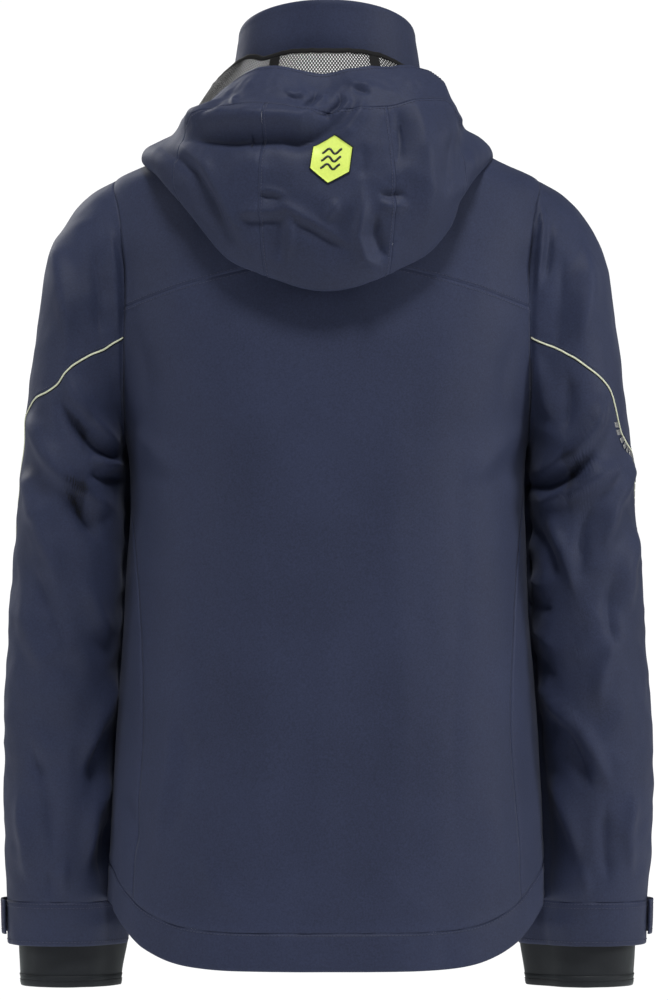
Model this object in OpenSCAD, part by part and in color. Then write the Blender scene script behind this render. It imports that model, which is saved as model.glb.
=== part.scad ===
// Foul weather jacket, as worn: +Z up, front towards -Y, wearer's left towards +X.
// The origin is the centre of the neck, level with the collar seam at the sides.

/* [Body] */
// Length from the neck's centre down to the lowest point of the back hem
back_length = 800; // [790:5:810]
// Width across the chest, just below the armholes
chest_w = 374; // [370:1:378]
// Width across the hem
hem_w = 416; // [410:2:422]
// Width between the shoulder points
shoulder_w = 400; // [396:2:404]
// How far the back stands behind the neck's centre at the chest
back_depth = 149; // [146:1:152]
// Lean of the centre front and its zip from the vertical, in degrees
zip_lean = 3.5; // [3.2:0.1:3.8]

/* [Collar] */
// Half the collar's width at its top edge
collar_half = 83; // [80:1:86]
// Height of the collar's top edge at the back
collar_back_z = 103; // [98:1:108]
// Height of the collar's top edge at the front
collar_front_z = 50; // [46:1:54]

/* [Sleeves] */
// Height of the shell sleeve's end
sleeve_end_z = -786; // [-792:2:-780]
// Height of the inner cuff's end
inner_cuff_z = -826; // [-832:2:-820]
// Width of the turned band at the hem
hem_band_w = 34; // [30:1:38]
// Width of the band at the sleeve's end
cuff_band_w = 42; // [38:1:46]

/* [Hood] */
// How far below the neck the dropped hood hangs at the back
hood_drop = 172; // [168:1:176]
// Angle from the back to each seam of the centre panel
hood_seam = 20; // [18:1:22]
// Angle from the back to where the hood's lifting part ends
hood_split = 50; // [48:1:52]

/* [Cloth] */
// Thickness of the shell cloth
shell_t = 2; // [1.6:0.1:2.2]
// Thickness of the lining cloth
lining_t = 1; // [0.8:0.1:1.2]

/* [Zips] */
// Width of the main zip's closed chain
chain_w = 6.4; // [6:0.1:7]
// Thickness of a zip chain
chain_t = 2.4; // [2.2:0.1:2.6]
// Length of each hand pocket zip
pocket_len = 165; // [155:5:175]

/* [Hidden] */
$fn = 32;
gap = 0.4;             // left between pieces that only lie beside each other
lining_depth = 9;      // the body lining hangs this far inside the shell
edge_gap = 4;          // left between a body panel and the sleeve at the armhole
neck_half = 92;
front_top_y = 98;      // the centre front stands this far forward at the collar's top
armhole_z = -186;      // centre of the armhole
armhole_half_h = 124;
armhole_half_d = 70;
armpit_z = armhole_z - armhole_half_h;
neck_front_z = -40;
hem_side_z = -742;
hem_front_z = -768;
yoke_z = -142;         // yoke seam at the centre back
yoke_fall = 50;        // how much lower the yoke seam is at the armhole
front_yoke_z = -190;
navy = [0.16, 0.19, 0.29];
navy_dark = [0.12, 0.15, 0.23];
black = [0.08, 0.08, 0.09];
lime = [0.80, 0.93, 0.35];
silver = [0.62, 0.63, 0.64];
knit = [0.12, 0.14, 0.15];

// Cross-sections of the body: height, half width, depth behind the neck's centre, squareness
BODY = [
    [  14,  86,               76,                2.00],
    [   0,  neck_half,        82,                2.00],
    [ -20, 122,               93,                2.05],
    [ -45, 166,              103,                2.10],
    [ -62, shoulder_w / 2,   108,                2.15],
    [ -90, shoulder_w/2 + 8, 118,                2.20],
    [-130, shoulder_w/2 + 10, 130,               2.25],
    [-200, shoulder_w/2 + 8, 142,                2.30],
    [-260, chest_w/2 + 13,   back_depth - 2,     2.35],
    [-310, chest_w/2 + 3,    back_depth,         2.35],
    [-360, chest_w / 2,      back_depth + 1,     2.40],
    [-440, chest_w/2 + 3,    back_depth + 1,     2.40],
    [-550, hem_w/2 - 11,     back_depth + 2,     2.40],
    [-700, hem_w/2 - 3,      back_depth + 6,     2.40],
    [-back_length - 4, hem_w / 2, back_depth + 11, 2.40]
];

// Half width of each side panel as an angle about the body, from the armpit down
SIDE_PANEL = [[armpit_z - 4, 0.5], [-360, 9], [-450, 24], [-580, 33], [-700, 31], [-900, 31]];

// Rings of the left sleeve: outer x and z, inner x and z, half depth, y of the centre
SLEEVE = [
    [200, -62,  190, -310,  70,   0],
    [224, -76,  192, -313,  72,   0],
    [245, -99,  192, -317,  74,   0],
    [264, -136, 192, -322,  76,   0],
    [273, -190, 192, -331,  77,   0],
    [282, -258, 192, -344,  77,   0],
    [290, -345, 193, -380,  76,   0],
    [298, -440, 194, -458,  72,   1],
    [305, -560, 201, -566,  66,  -2],
    [306, -680, 207, -682,  59, -14],
    [304, sleeve_end_z, 208, sleeve_end_z, 54, -28]
];
sleeve_rings = len(SLEEVE) - 1;

// The dropped hood hangs as a U-shaped bag round the neck. Each row is that U, 30 degrees further
// round from the back: radius about the neck and height, from the seam on the collar, down the
// inner wall, round the fold at the bottom and up the outer wall to the brim
HOOD = [
    [[88, 56],   [117, -50],  [147, -hood_drop + 30], [161, -hood_drop], [174, -hood_drop + 32], [178, -72],
     [154, 2],  [124, 36]],
    [[89, 53],   [122, -40],  [152, -108], [167, -139], [181, -112], [188, -58], [163, 4],  [131, 37]],
    [[97, 34],   [128, -14],  [158, -45],  [172, -61],  [184, -50],  [183, -28], [163, -6],  [137, 10]],
    [[112, 6],   [129, -11],  [151, -27],  [166, -37],  [171, -32],  [165, -20], [147, -6],  [129, 4]],
    [[117, -3],  [126, -17],  [138, -28],  [148, -36],  [152, -32],  [147, -23], [137, -11], [127, -3]],
    [[118, -23], [121, -29],  [125, -34],  [129, -37],  [131, -33],  [128, -28], [125, -24], [121, -20]]
];

// The seam of the sleeve's upper panel, which carries the piping: angle round the sleeve, ring
PIPING = [
    [102, 0.12], [97, 1.4], [92, 2.6], [84, 3.65], [63, 4.55], [33, 5.05], [8, 5.3], [0, 5.6], [-6, 6.3],
    [-14, 6.85], [-30, 6.9], [-50, 6.3], [-70, 5.4], [-84, 4.2], [-92, 2.8], [-97, 1.5], [-102, 0.12]
];

function mix(a, b, t) = a * (1 - t) + b * t;
function segment(rows, z, i = 0) = (i >= len(rows) - 2 || z >= rows[i + 1][0]) ? i : segment(rows, z, i + 1);
function slope(rows, i, c) =
    let (a = max(0, i - 1), b = min(len(rows) - 1, i + 1))
    (rows[b][c] - rows[a][c]) / (rows[b][0] - rows[a][0]);

// Smooth value of column c at height z, through rows sorted from the top down
function along(rows, z, c) =
    let (i = segment(rows, z), h = rows[i + 1][0] - rows[i][0], t = (z - rows[i][0]) / h)
    (2*t*t*t - 3*t*t + 1) * rows[i][c] + (t*t*t - 2*t*t + t) * h * slope(rows, i, c)
    + (3*t*t - 2*t*t*t) * rows[i + 1][c] + (t*t*t - t*t) * h * slope(rows, i + 1, c);

// Smooth value along rows that are numbered 0, 1, 2 ..
function step_value(rows, w, c) =
    let (i = min(floor(w), len(rows) - 2), t = w - i, n = len(rows) - 1,
         a = rows[i][c], b = rows[i + 1][c],
         ma = (b - rows[max(0, i - 1)][c]) / (i > 0 ? 2 : 1),
         mb = (rows[min(n, i + 2)][c] - a) / (i + 2 <= n ? 2 : 1))
    (2*t*t*t - 3*t*t + 1) * a + (t*t*t - 2*t*t + t) * ma + (3*t*t - 2*t*t*t) * b + (t*t*t - t*t) * mb;

function spow(v, p) = sign(v) * pow(abs(v), p);
function front_y(z) = front_top_y + (collar_front_z - z) * tan(zip_lean);
function half_w(z) = along(BODY, z, 1);
function depth(z, back) = back ? along(BODY, z, 2) : front_y(z);

// A point of the body; u is the angle from the centre front (0) by the left side (90) to the back (180)
function body_at(u, z) =
    let (p = 2 / along(BODY, z, 3))
    [half_w(z) * spow(sin(u), p), -depth(z, cos(u) < 0) * spow(cos(u), p), z];
function angle_at_x(x, z) = asin(pow(min(1, x / half_w(z)), along(BODY, z, 3) / 2));
function angle_from_side(y, z, back) = 90 - acos(pow(min(1, y / depth(z, back)), along(BODY, z, 3) / 2));

// Half of the side opening as an angle: the armhole above the armpit, the side panel below it
function armhole_y(z) = armhole_half_d * sqrt(max(0, 1 - pow((z - armhole_z) / armhole_half_h, 2)));
function opening(z, back) =
    z > armpit_z
        ? (z < armhole_z + armhole_half_h ? angle_from_side(armhole_y(z), z, back) + edge_gap / 3 : 0.1)
        : along(SIDE_PANEL, z, 1);

function neck_z(u) = cos(u) < 0 ? 8 * pow(cos(u), 2) : neck_front_z * pow(cos(u), 2.2);
function hem_z(u) =
    let (side = pow(abs(sin(u)), 5))
    cos(u) < 0 ? mix(-back_length, hem_side_z, side) : mix(hem_front_z, hem_side_z, side);
function yoke_line(u) = yoke_z - yoke_fall * pow(abs(sin(u)), 1.5);

// Unit normals and the thick closed solid of a grid of points, moved inwards by t
function unit(v) = v / max(norm(v), 1e-9);
function grid_normal(g, i, j, wrap) =
    let (n = len(g), m = len(g[0]),
         a = g[min(n - 1, i + 1)][j] - g[max(0, i - 1)][j],
         b = wrap ? g[i][(j + 1) % m] - g[i][(j + m - 1) % m]
                  : g[i][min(m - 1, j + 1)] - g[i][max(0, j - 1)])
    unit(cross(a, b));
module cloth(g, t, wrap = false, start = 0) {
    n = len(g);
    m = len(g[0]);
    k = n * m;
    cols = wrap ? m : m - 1;
    outer = [for (i = [0:n-1], j = [0:m-1]) g[i][j] - start * grid_normal(g, i, j, wrap)];
    inner = [for (i = [0:n-1], j = [0:m-1]) g[i][j] - (start + t) * grid_normal(g, i, j, wrap)];
    quads = [
        for (i = [0:n-2], j = [0:cols-1]) let (a = i*m + j, b = i*m + (j+1) % m) each [
            [a, a + m, b + m], [a, b + m, b], [k + a, k + b + m, k + a + m], [k + a, k + b, k + b + m]],
        for (j = [0:cols-1]) let (a = j, b = (j+1) % m, c = (n-1)*m + j, d = (n-1)*m + (j+1) % m) each [
            [a, b, k + b], [a, k + b, k + a], [c, k + d, d], [c, k + c, k + d]],
        if (!wrap) for (i = [0:n-2]) let (a = i*m, b = i*m + m - 1) each [
            [a, k + a, k + a + m], [a, k + a + m, a + m], [b, k + b + m, k + b], [b, b + m, k + b + m]]
    ];
    polyhedron([each outer, each inner], quads, convexity = 8);
}

function steps(n) = [for (i = [0:n]) i / n];

// ---- Body panels ----
// The angle and height of a panel's point settle in three rounds, as each one bounds the other
function settle(angle, height, s, r, z, n = 3) =
    let (u = angle(s, z), z2 = height(u, r)) n == 0 ? [u, z2] : settle(angle, height, s, r, z2, n - 1);
function panel_point(angle, height, s, r) =
    let (q = settle(angle, height, s, r, -300)) body_at(angle(s, q[1]), q[1]);
function back_grid(top, bottom, rows, cols) = [
    for (r = rows) [for (s = steps(cols))
        panel_point(function (s, z) mix(90 + opening(z, true), 270 - opening(z, true), s),
                    function (u, r) mix(top(u), bottom(u), r), s, r)]
];
function front_grid(side, rows, cols) = [
    for (r = rows) [for (s = steps(cols))
        panel_point(function (s, z) let (e = angle_at_x(9, z), o = 90 - opening(z, false))
                        side > 0 ? mix(e, o, s) : mix(360 - o, 360 - e, s),
                    function (u, r) mix(neck_z(u) - gap, hem_z(u) + hem_band_w, r), s, r)]
];
module back_panel() color(navy)
    cloth(back_grid(function (u) yoke_line(u) - gap, function (u) hem_z(u) + hem_band_w,
                    [0, 0.05, 0.1, 0.16, 0.21, 0.235, 0.25, 0.265, 0.29, 0.35, 0.45, 0.55, 0.65, 0.75, 0.85,
                     0.93, 1], 16), shell_t);
module back_yoke() color(navy)
    cloth(back_grid(function (u) neck_z(u) - gap, function (u) yoke_line(u),
                    [0, 0.12, 0.22, 0.3, 0.325, 0.333, 0.345, 0.37, 0.42, 0.5, 0.62, 0.75, 0.88, 1], 16),
          shell_t);
module front_panel(side) color(navy) difference() {
    cloth(front_grid(side, [0, 0.03, 0.06, 0.08, 0.0865, 0.089, 0.093, 0.1, 0.115, 0.14, 0.18, 0.24, 0.3, 0.34,
                            0.36, 0.375, 0.39, 0.42, 0.5, 0.6, 0.7, 0.8, 0.9, 1], 8), shell_t);
    on_pocket(hand_top, hand_low, side) pocket_slot(hand_top, hand_low);
    if (side > 0) on_pocket(chest_top, chest_low, side) pocket_slot(chest_top, chest_low);
}
module side_panel(side) color(navy)
    cloth([for (r = [0, 0.03, 0.08, 0.16, 0.25, 0.37, 0.5, 0.66, 0.82, 1]) [for (s = steps(6))
        panel_point(function (s, z) (side > 0 ? 90 : 270) + (2 * s - 1) * max(0.15, opening(z, true) - 0.6),
                    function (u, r) mix(armpit_z - 8, hem_z(u) + hem_band_w + gap, r), s, r)]], shell_t);
module hem_band() color(navy)
    cloth([for (r = steps(2)) [for (s = steps(48))
        let (u = mix(2.2, 357.8, s), z = mix(hem_z(u) + hem_band_w - gap, hem_z(u), r))
        body_at(u, z)]], shell_t);
module body_lining() color(black)
    cloth([for (r = steps(9)) [for (s = steps(28))
        let (u = mix(14, 346, s), z = mix(-330, hem_z(u) + 42, r))
        body_at(u, z)]], lining_t, false, lining_depth);

// ---- Collar ----
function collar_grid(rows, cols, edge) = [
    for (r = rows) [for (s = steps(cols))
        let (e0 = angle_at_x(edge, neck_front_z), e1 = asin(edge / collar_half),
             u = mix(e0, 360 - e0, s), v = mix(e1, 360 - e1, s),
             mean = (collar_back_z + collar_front_z) / 2, half = (collar_back_z - collar_front_z) / 2,
             z = mean - half * cos(v),
             y = cos(v) < 0 ? -80 * cos(v) : -front_y(z) * cos(v))
        mix(body_at(u, neck_z(u)), [collar_half * sin(v), y, z], r)]
];
module collar_shell() color(navy) cloth(collar_grid([0, 0.25, 0.5, 0.75, 1], 30, 8.5), shell_t);
module collar_lining() color(black)
    cloth(collar_grid([0.03, 0.25, 0.5, 0.75, 0.985], 30, 14), lining_t, false, shell_t + 1.6);
module hang_loop() color(black)
    translate([0, 69, 20]) rotate([-4, 0, 0]) difference() {
        translate([-35, -8, -5]) cube([70, 8, 10]);
        translate([-27, -7.2, -6]) cube([54, 6.2, 12]);
    }

// ---- Sleeves ----
// Ring w, point at angle k: 0 is the outer side, 90 the back, 180 the side next to the body
function armhole_point(k) =
    let (z = armhole_z + armhole_half_h * cos(k), y = armhole_half_d * sin(k),
         d = depth(z, y > 0), n = along(BODY, z, 3))
    [half_w(z) * pow(max(0, 1 - pow(abs(y) / d, n)), 1 / n), y, z];
function ring_point(w, k) =
    let (xo = step_value(SLEEVE, w, 0), zo = step_value(SLEEVE, w, 1),
         xi = step_value(SLEEVE, w, 2), zi = step_value(SLEEVE, w, 3),
         d = step_value(SLEEVE, w, 4), y = step_value(SLEEVE, w, 5),
         c = spow(cos(k), 0.94), s = spow(sin(k), 0.94))
    [mix(xi, xo, (1 + c) / 2), y + d * s, mix(zi, zo, (1 + c) / 2)];
function sleeve_at(w, k) = w >= 1 ? ring_point(w, k)
    : mix(armhole_point(k) + [1.2, 0, 0], ring_point(1, k), w);
function mirrored(g, side) = side > 0 ? g
    : [for (r = g) [for (j = [len(r) - 1:-1:0]) [-r[j][0], r[j][1], r[j][2]]]];

// Ring number of the piping's seam at angle k
function piping_w(k) = along(PIPING, max(-102, min(102, k)), 1);
band_w_ring = sleeve_rings - cuff_band_w / 106;
seam_k = [-101, -97, -92, -84, -75, -64, -50, -38, -28, -20, -14, -9, -5, -1, 3, 8, 18, 33, 48, 63, 76, 84,
          92, 97, 101];
round_k = [-180, -165, -150, -135, -120, -110, -102, each [for (k = seam_k) if (abs(k) < 100) k],
           102, 110, 120, 135, 150, 165];
function upper_grid() = [for (r = steps(6)) [for (k = seam_k) sleeve_at(mix(0, piping_w(k) - 0.03, r), k)]];
function lower_grid() = [for (r = [0, 0.06, 0.14, 0.24, 0.36, 0.5, 0.66, 0.83, 1]) [for (k = round_k)
    sleeve_at(mix(abs(k) < 102 ? piping_w(k) : 0.12, band_w_ring - 0.006, r), k)]];
module sleeve_upper(side) color(navy) cloth(mirrored(upper_grid(), side), shell_t);
module sleeve_lower(side) color(navy) cloth(mirrored(lower_grid(), side), shell_t, true);
module cuff_band(side) color(navy)
    cloth(mirrored([for (r = steps(2)) [for (s = [0:23])
        sleeve_at(mix(band_w_ring, sleeve_rings, r), -180 + 15 * s)]], side), shell_t, true);
module inner_cuff(side) color(knit)
    cloth(mirrored([
        for (q = [[16, 43.6, 255], [0, 42, 253], [-20, 41.5, 252.5], [inner_cuff_z - sleeve_end_z, 40, 252]])
        [for (s = [0:23]) let (k = -180 + 15 * s)
            [q[2] + q[1] * cos(k), -28 + 1.08 * q[1] * sin(k), sleeve_end_z + q[0]]]], side), shell_t, true);

// The cuff tab lies on the outside of the cuff, from its sewn end towards the front, and bulges off it
tab_sewn_k = 14;
tab_tip_k = -72;
tab_z = sleeve_end_z + 25;
tab_h = 34;
tab_t = 2;
function tab_point(k, z, lift) =
    sleeve_at(sleeve_rings - (z - sleeve_end_z) / 106, k) + lift * unit([54 * cos(k), 48 * sin(k), 0]);
module cuff_tab(side) color(navy)
    cloth(mirrored([for (r = steps(2)) [for (s = [0, 0.03, 0.08, each [for (i = [2:10]) i / 10]])
        let (h = tab_h * (s < 0.01 ? 0.62 : s < 0.05 ? 0.84 : s < 0.1 ? 0.95 : 1))
        tab_point(mix(tab_tip_k, tab_sewn_k, s), tab_z + h * (0.5 - r), 3.8 + 4.5 * sin(180 * s))]], side),
        tab_t);
module cuff_hook_patch(side) color(black)
    cloth(mirrored([for (r = steps(1)) [for (s = steps(6))
        tab_point(mix(-66, -30, s), tab_z + 24 * (0.5 - r), 1.4)]], side), 1);

// Piping bead and the tape of reflective blocks beneath it, both laid square to their seam
function seam_frame(k) =
    let (n = [cos(k), sin(k), 0], ahead = sleeve_at(piping_w(k + 1), k + 1),
         behind = sleeve_at(piping_w(k - 1), k - 1))
    [sleeve_at(piping_w(k), k), n, unit(cross(unit(ahead - behind), n))];
module sleeve_piping(side) color(lime)
    cloth(mirrored([for (r = [-1, 0, 1]) [for (k = seam_k) if (abs(k) < 98)
        let (f = seam_frame(k)) f[0] + 1.6 * r * f[2] + (2.2 - 0.6 * abs(r)) * f[1]]], side), 1);
tape_k = [-64, -50, -38, -28, -20, -14, -9, -5, -1, 3, 8, 18, 26];
module reflective_tape(side) color(silver)
    cloth(mirrored([for (r = steps(1)) [for (k = tape_k)
        let (f = seam_frame(k)) f[0] + mix(2.6, 9, r) * f[2] + mix(2.5, 2.8, r) * f[1]]], side), 0.6);

// ---- Hood, dropped behind the neck ----
function turn_mix(a, b, c, d, t) =
    0.5 * (2*b + (c - a)*t + (2*a - 5*b + 4*c - d)*t*t + (3*b - a - 3*c + d)*t*t*t);
function hood_at(phi, t) =
    let (q = t * (len(HOOD[0]) - 1), p = abs(phi) / 30, i = min(floor(p), len(HOOD) - 2), f = p - i,
         v = [for (c = [0, 1]) turn_mix(step_value(HOOD[abs(i - 1)], q, c), step_value(HOOD[i], q, c),
              step_value(HOOD[i + 1], q, c), step_value(HOOD[min(i + 2, len(HOOD) - 1)], q, c), f)])
    [v[0] * sin(phi), v[0] * cos(phi), v[1]];
function hood_grid(a, b, t0, t1, rows, cols) = [
    for (r = steps(rows)) [for (s = steps(cols)) hood_at(mix(a, b, s), mix(t0, t1, r))]
];
brim_t = 0.845;
module hood_centre_panel() color(navy)
    cloth(hood_grid(-hood_seam, hood_seam, 0.03, brim_t - 0.004, 14, 6), shell_t);
module hood_side(side) color(navy)
    cloth(side > 0 ? hood_grid(hood_seam + 0.2, hood_split - 0.4, 0.03, brim_t - 0.004, 14, 5)
                   : hood_grid(-hood_split + 0.4, -hood_seam - 0.2, 0.03, brim_t - 0.004, 14, 5), shell_t);
module hood_brim() color(navy)
    cloth(hood_grid(-hood_split + 0.4, hood_split - 0.4, brim_t, 1, 2, 14), shell_t);
module hood_wing(side) color(navy)
    cloth(side > 0 ? hood_grid(hood_split + 0.2, 150, 0.03, 1, 13, 11)
                   : hood_grid(-150, -hood_split - 0.2, 0.03, 1, 13, 11), shell_t);
module hood_mesh_lining() color(black)
    cloth(hood_grid(-hood_split + 1.5, hood_split - 1.5, 0.07, 0.86, 13, 12), lining_t, false, shell_t + 1.2);
module hood_seam_tapes() color(black)
    for (side = [-1, 1])
        cloth(hood_grid(side * 21 - 2.2, side * 21 + 2.2, 0.08, 0.3, 3, 1), 0.6, false, shell_t + 2.6);
module hood_neck_tape() color(black)
    cloth(hood_grid(-hood_split + 1, hood_split - 1, 0, 0.025, 1, 14), shell_t);
// A six-sided badge lies on the outer wall, one corner up
module hood_badge() color(lime) {
    near = hood_grid(-5, 3, 0.69, 0.78, 2, 2);
    n = grid_normal(near, 1, 1, false);
    up = unit(near[2][1] - near[0][1]);
    x = cross(up, n);
    p = near[1][1] + 0.4 * n;
    multmatrix([for (i = [0:2]) [x[i], up[i], n[i], p[i]]])
        scale([0.9, 1, 1]) rotate([0, 0, 30]) cylinder(r = 22.5, h = 1.2, $fn = 6);
}

// ---- Zips ----
// A zip lies along its own -Z from the top, with its face towards -Y and its chain's middle at y = 0.
// Each set holds the chain's width and thickness, the slider's width and length, and how much higher
// than a flat zip's the bridge stands, so that a puller clears the cloth around a sunk zip
MAIN = [chain_w, chain_t, 10.5, 15, 0];
POCKET = [4.8, 2, 8, 11, 2.8];
plate_t = 1.3;
free = 0.35;          // play between a slider and its chain
chain_split = 0.8;    // each chain half starts this far from the middle, clear of the slider's web
pin_r = 0.8;
function face(zip) = -zip[1] / 2 - free - plate_t;
function pin_z(zip) = -zip[3] * 0.4;
function eye(zip) = zip[3] * 0.6 - 0.7;
module chain(zip, length, side)
    translate([side > 0 ? chain_split : -zip[0] / 2, -zip[1] / 2, -length])
        cube([zip[0] / 2 - chain_split, zip[1], length]);
module tape(zip, length, w, side)
    translate([side > 0 ? zip[0] / 2 : -zip[0] / 2 - w, 0, -length]) cube([w, 0.8, length]);
// Two plates joined by a web between the chain halves, with a bridge that carries the puller
module slider(zip) {
    w = zip[2];
    l = zip[3];
    slot = zip[1] + 2 * free;
    for (y = [-slot / 2 - plate_t, slot / 2])
        hull() for (x = [-1, 1]) {
            translate([x * (w / 2 - 2), y, -2]) rotate([-90, 0, 0]) cylinder(r = 2, h = plate_t);
            translate([x * (w / 2 - 3), y, -l + 2]) rotate([-90, 0, 0]) cylinder(r = 2, h = plate_t);
        }
    translate([-0.4, -slot / 2 - 0.1, -4.5]) cube([0.8, slot + 0.2, 4]);
    for (z = [-3.1, -l + 2.1]) translate([-1.1, face(zip) - 3.2 - zip[4], z]) cube([2.2, 3.3 + zip[4], 1.8]);
    translate([-1.1, face(zip) - 4.4 - zip[4], -l + 2.1]) cube([2.2, 1.3, l - 3.4]);
}
// The puller's bar turns under the bridge and its eye passes round the bridge's lower end
module puller(zip, w, length) color(lime) translate([0, face(zip) - 1.55 - zip[4], pin_z(zip)]) {
    translate([-3.4, 0, 0]) rotate([0, 90, 0]) cylinder(r = pin_r, h = 6.8);
    for (s = [-1, 1]) translate([s * 2.6 - 0.8, -pin_r, -eye(zip) - 1]) cube([1.6, 2 * pin_r, eye(zip) + 1]);
    translate([-3.4, -1.1, -eye(zip) - 5]) cube([6.8, 1.9, 5]);
    hull() {
        translate([-3, -1.2, -eye(zip) - 5]) cube([6, 2, 2]);
        translate([-w / 2, -1.4, -length]) cube([w, 2.2, 4]);
    }
}

main_len = (collar_front_z - hem_front_z - 8) / cos(zip_lean);
main_depth = 3.3;  // the chain's middle behind the shell's outer face
module on_main_zip()
    translate([0, -front_y(collar_front_z), collar_front_z]) rotate([-zip_lean, 0, 0])
        translate([0, main_depth, 0]) children();
main_top = -10;    // the closed slider's place along the zip
module zip_tapes() color(black) on_main_zip()
    for (s = [-1, 1]) tape(MAIN, main_len - 7.3, 9, s);
module zip_chain(side) color(black) on_main_zip() translate([0, 0, -9]) chain(MAIN, main_len - 17, side);
module zip_top_stops() color(silver) on_main_zip() for (s = [-1, 1])
    translate([s * 2 - 1.1, -chain_t / 2, -8.6]) cube([2.2, chain_t, 3]);
module zip_box() color(black) on_main_zip() {
    translate([-4.2, -chain_t / 2 - 0.6, -main_len + 0.5]) cube([8.4, chain_t + 1.2, 6.8]);
}
module zip_slider() color(silver) on_main_zip() translate([0, 0, main_top]) slider(MAIN);
module zip_puller() on_main_zip() translate([0, 0, main_top]) puller(MAIN, 9, 42);
// A flap of cloth behind the zip, sewn to the left front, and a soft cap over the zip's top
module inner_storm_flap() color(navy_dark) on_main_zip() {
    translate([-24, 4.2, -main_len + 6]) cube([48, 1.2, main_len - 14]);
    translate([19, -0.4, -main_len + 44]) cube([5, 4.7, main_len - 150]);
}
module chin_guard() color(black) on_main_zip() difference() {
    translate([-8, -2.6, -5]) cube([16, 6.2, 6.5]);
    translate([-9, -1.4, -6]) cube([18, 3.8, 6]);
}

// Pockets on the front: x and z of the zip's top, then of its lower end
hand_top = [104, -470];
hand_low = [128, -470 - pocket_len];
chest_top = [88, -205];
chest_low = [88, -335];
pocket_depth = 3.2;
function pocket_l(top, low) = norm(on_front(top) - on_front(low));
function on_front(q) =
    let (n = along(BODY, q[1], 3))
    [q[0], -front_y(q[1]) * pow(1 - pow(q[0] / half_w(q[1]), n), 1 / n), q[1]];
// Puts children, drawn as a zip, on the front between two points; side mirrors them across
module on_pocket(top, low, side) {
    a = on_front(top);
    b = on_front(low);
    d = unit(a - b);
    mid = (top + low) / 2;
    across = unit(on_front(mid + [6, 0]) - on_front(mid - [6, 0]));
    y = unit(cross(d, across));
    x = cross(y, d);
    mirror([side > 0 ? 0 : 1, 0, 0])
        multmatrix([for (i = [0:2]) [x[i], y[i], d[i], a[i]]])
            translate([0, pocket_depth, 0]) children();
}
module pocket_slot(top, low) translate([-5.2, -12, -pocket_l(top, low)]) cube([10.4, 24, pocket_l(top, low)]);
module pocket_zip(top, low, side) color(black) on_pocket(top, low, side) {
    l = pocket_l(top, low);
    for (s = [-1, 1]) {
        translate([0, 0.5, 4]) tape(POCKET, l + 8, 6, s);
        chain(POCKET, l, s);
    }
    for (z = [1, -l - 3]) translate([-4, 0.5, z]) cube([8, 0.8, 2]);
}
module pocket_slider(top, low, side) color(silver)
    on_pocket(top, low, side) translate([0, 0, -1]) slider(POCKET);
module pocket_puller(top, low, side) on_pocket(top, low, side) translate([0, 0, -1]) puller(POCKET, 7, 32);
// The bag behind each pocket's zip follows the front, inside it
function front_angle(q) = asin(pow(min(1, q[0] / half_w(q[1])), along(BODY, q[1], 3) / 2));
module pocket_bag(x0, x1, z0, z1, side) color(black) mirror([side > 0 ? 0 : 1, 0, 0])
    cloth([for (r = steps(3)) [for (s = steps(4))
        let (q = [mix(x0, x1, s), mix(z0, z1, r)]) body_at(front_angle(q), q[1])]], 0.8, false, 6.4);

back_panel();
back_yoke();
side_panel(1);  // side_panel_left
side_panel(-1);  // side_panel_right
front_panel(1);  // front_panel_left
front_panel(-1);  // front_panel_right
hem_band();
collar_shell();
collar_lining();
hang_loop();
body_lining();
sleeve_upper(1);  // sleeve_upper_left
sleeve_upper(-1);  // sleeve_upper_right
sleeve_lower(1);  // sleeve_lower_left
sleeve_lower(-1);  // sleeve_lower_right
cuff_band(1);  // cuff_band_left
cuff_band(-1);  // cuff_band_right
inner_cuff(1);  // inner_cuff_left
inner_cuff(-1);  // inner_cuff_right
cuff_tab(1);  // cuff_tab_left
cuff_tab(-1);  // cuff_tab_right
cuff_hook_patch(1);  // cuff_hook_patch_left
cuff_hook_patch(-1);  // cuff_hook_patch_right
sleeve_piping(1);  // sleeve_piping_left
sleeve_piping(-1);  // sleeve_piping_right
reflective_tape(1);  // reflective_tape_left
reflective_tape(-1);  // reflective_tape_right
hood_centre_panel();
hood_side(1);  // hood_side_left
hood_side(-1);  // hood_side_right
hood_brim();
hood_wing(1);  // hood_wing_left
hood_wing(-1);  // hood_wing_right
hood_mesh_lining();
hood_seam_tapes();
hood_neck_tape();
hood_badge();
zip_tapes();
zip_chain(1);  // zip_chain_left
zip_chain(-1);  // zip_chain_right
zip_top_stops();
zip_box();
zip_slider();
zip_puller();
inner_storm_flap();
chin_guard();
pocket_zip(hand_top, hand_low, 1);  // hand_pocket_zip_left
pocket_zip(hand_top, hand_low, -1);  // hand_pocket_zip_right
pocket_slider(hand_top, hand_low, 1);  // hand_pocket_slider_left
pocket_slider(hand_top, hand_low, -1);  // hand_pocket_slider_right
pocket_puller(hand_top, hand_low, 1);  // hand_pocket_puller_left
pocket_puller(hand_top, hand_low, -1);  // hand_pocket_puller_right
pocket_zip(chest_top, chest_low, 1);  // chest_pocket_zip
pocket_slider(chest_top, chest_low, 1);  // chest_pocket_slider
pocket_puller(chest_top, chest_low, 1);  // chest_pocket_puller
pocket_bag(62, 150, -455, -680, 1);  // hand_pocket_bag_left
pocket_bag(62, 150, -455, -680, -1);  // hand_pocket_bag_right
pocket_bag(50, 130, -195, -350, 1);  // chest_pocket_bag
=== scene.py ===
"""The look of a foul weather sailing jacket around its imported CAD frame.

Lengths are in millimetres until a mesh is made, then in metres. +Z is up, the front faces -Y and
the wearer's left is +X. The body, sleeve and hood surfaces repeat the ones in part.scad.
"""
import bpy
import math
import numpy as np
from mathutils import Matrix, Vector, noise


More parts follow.
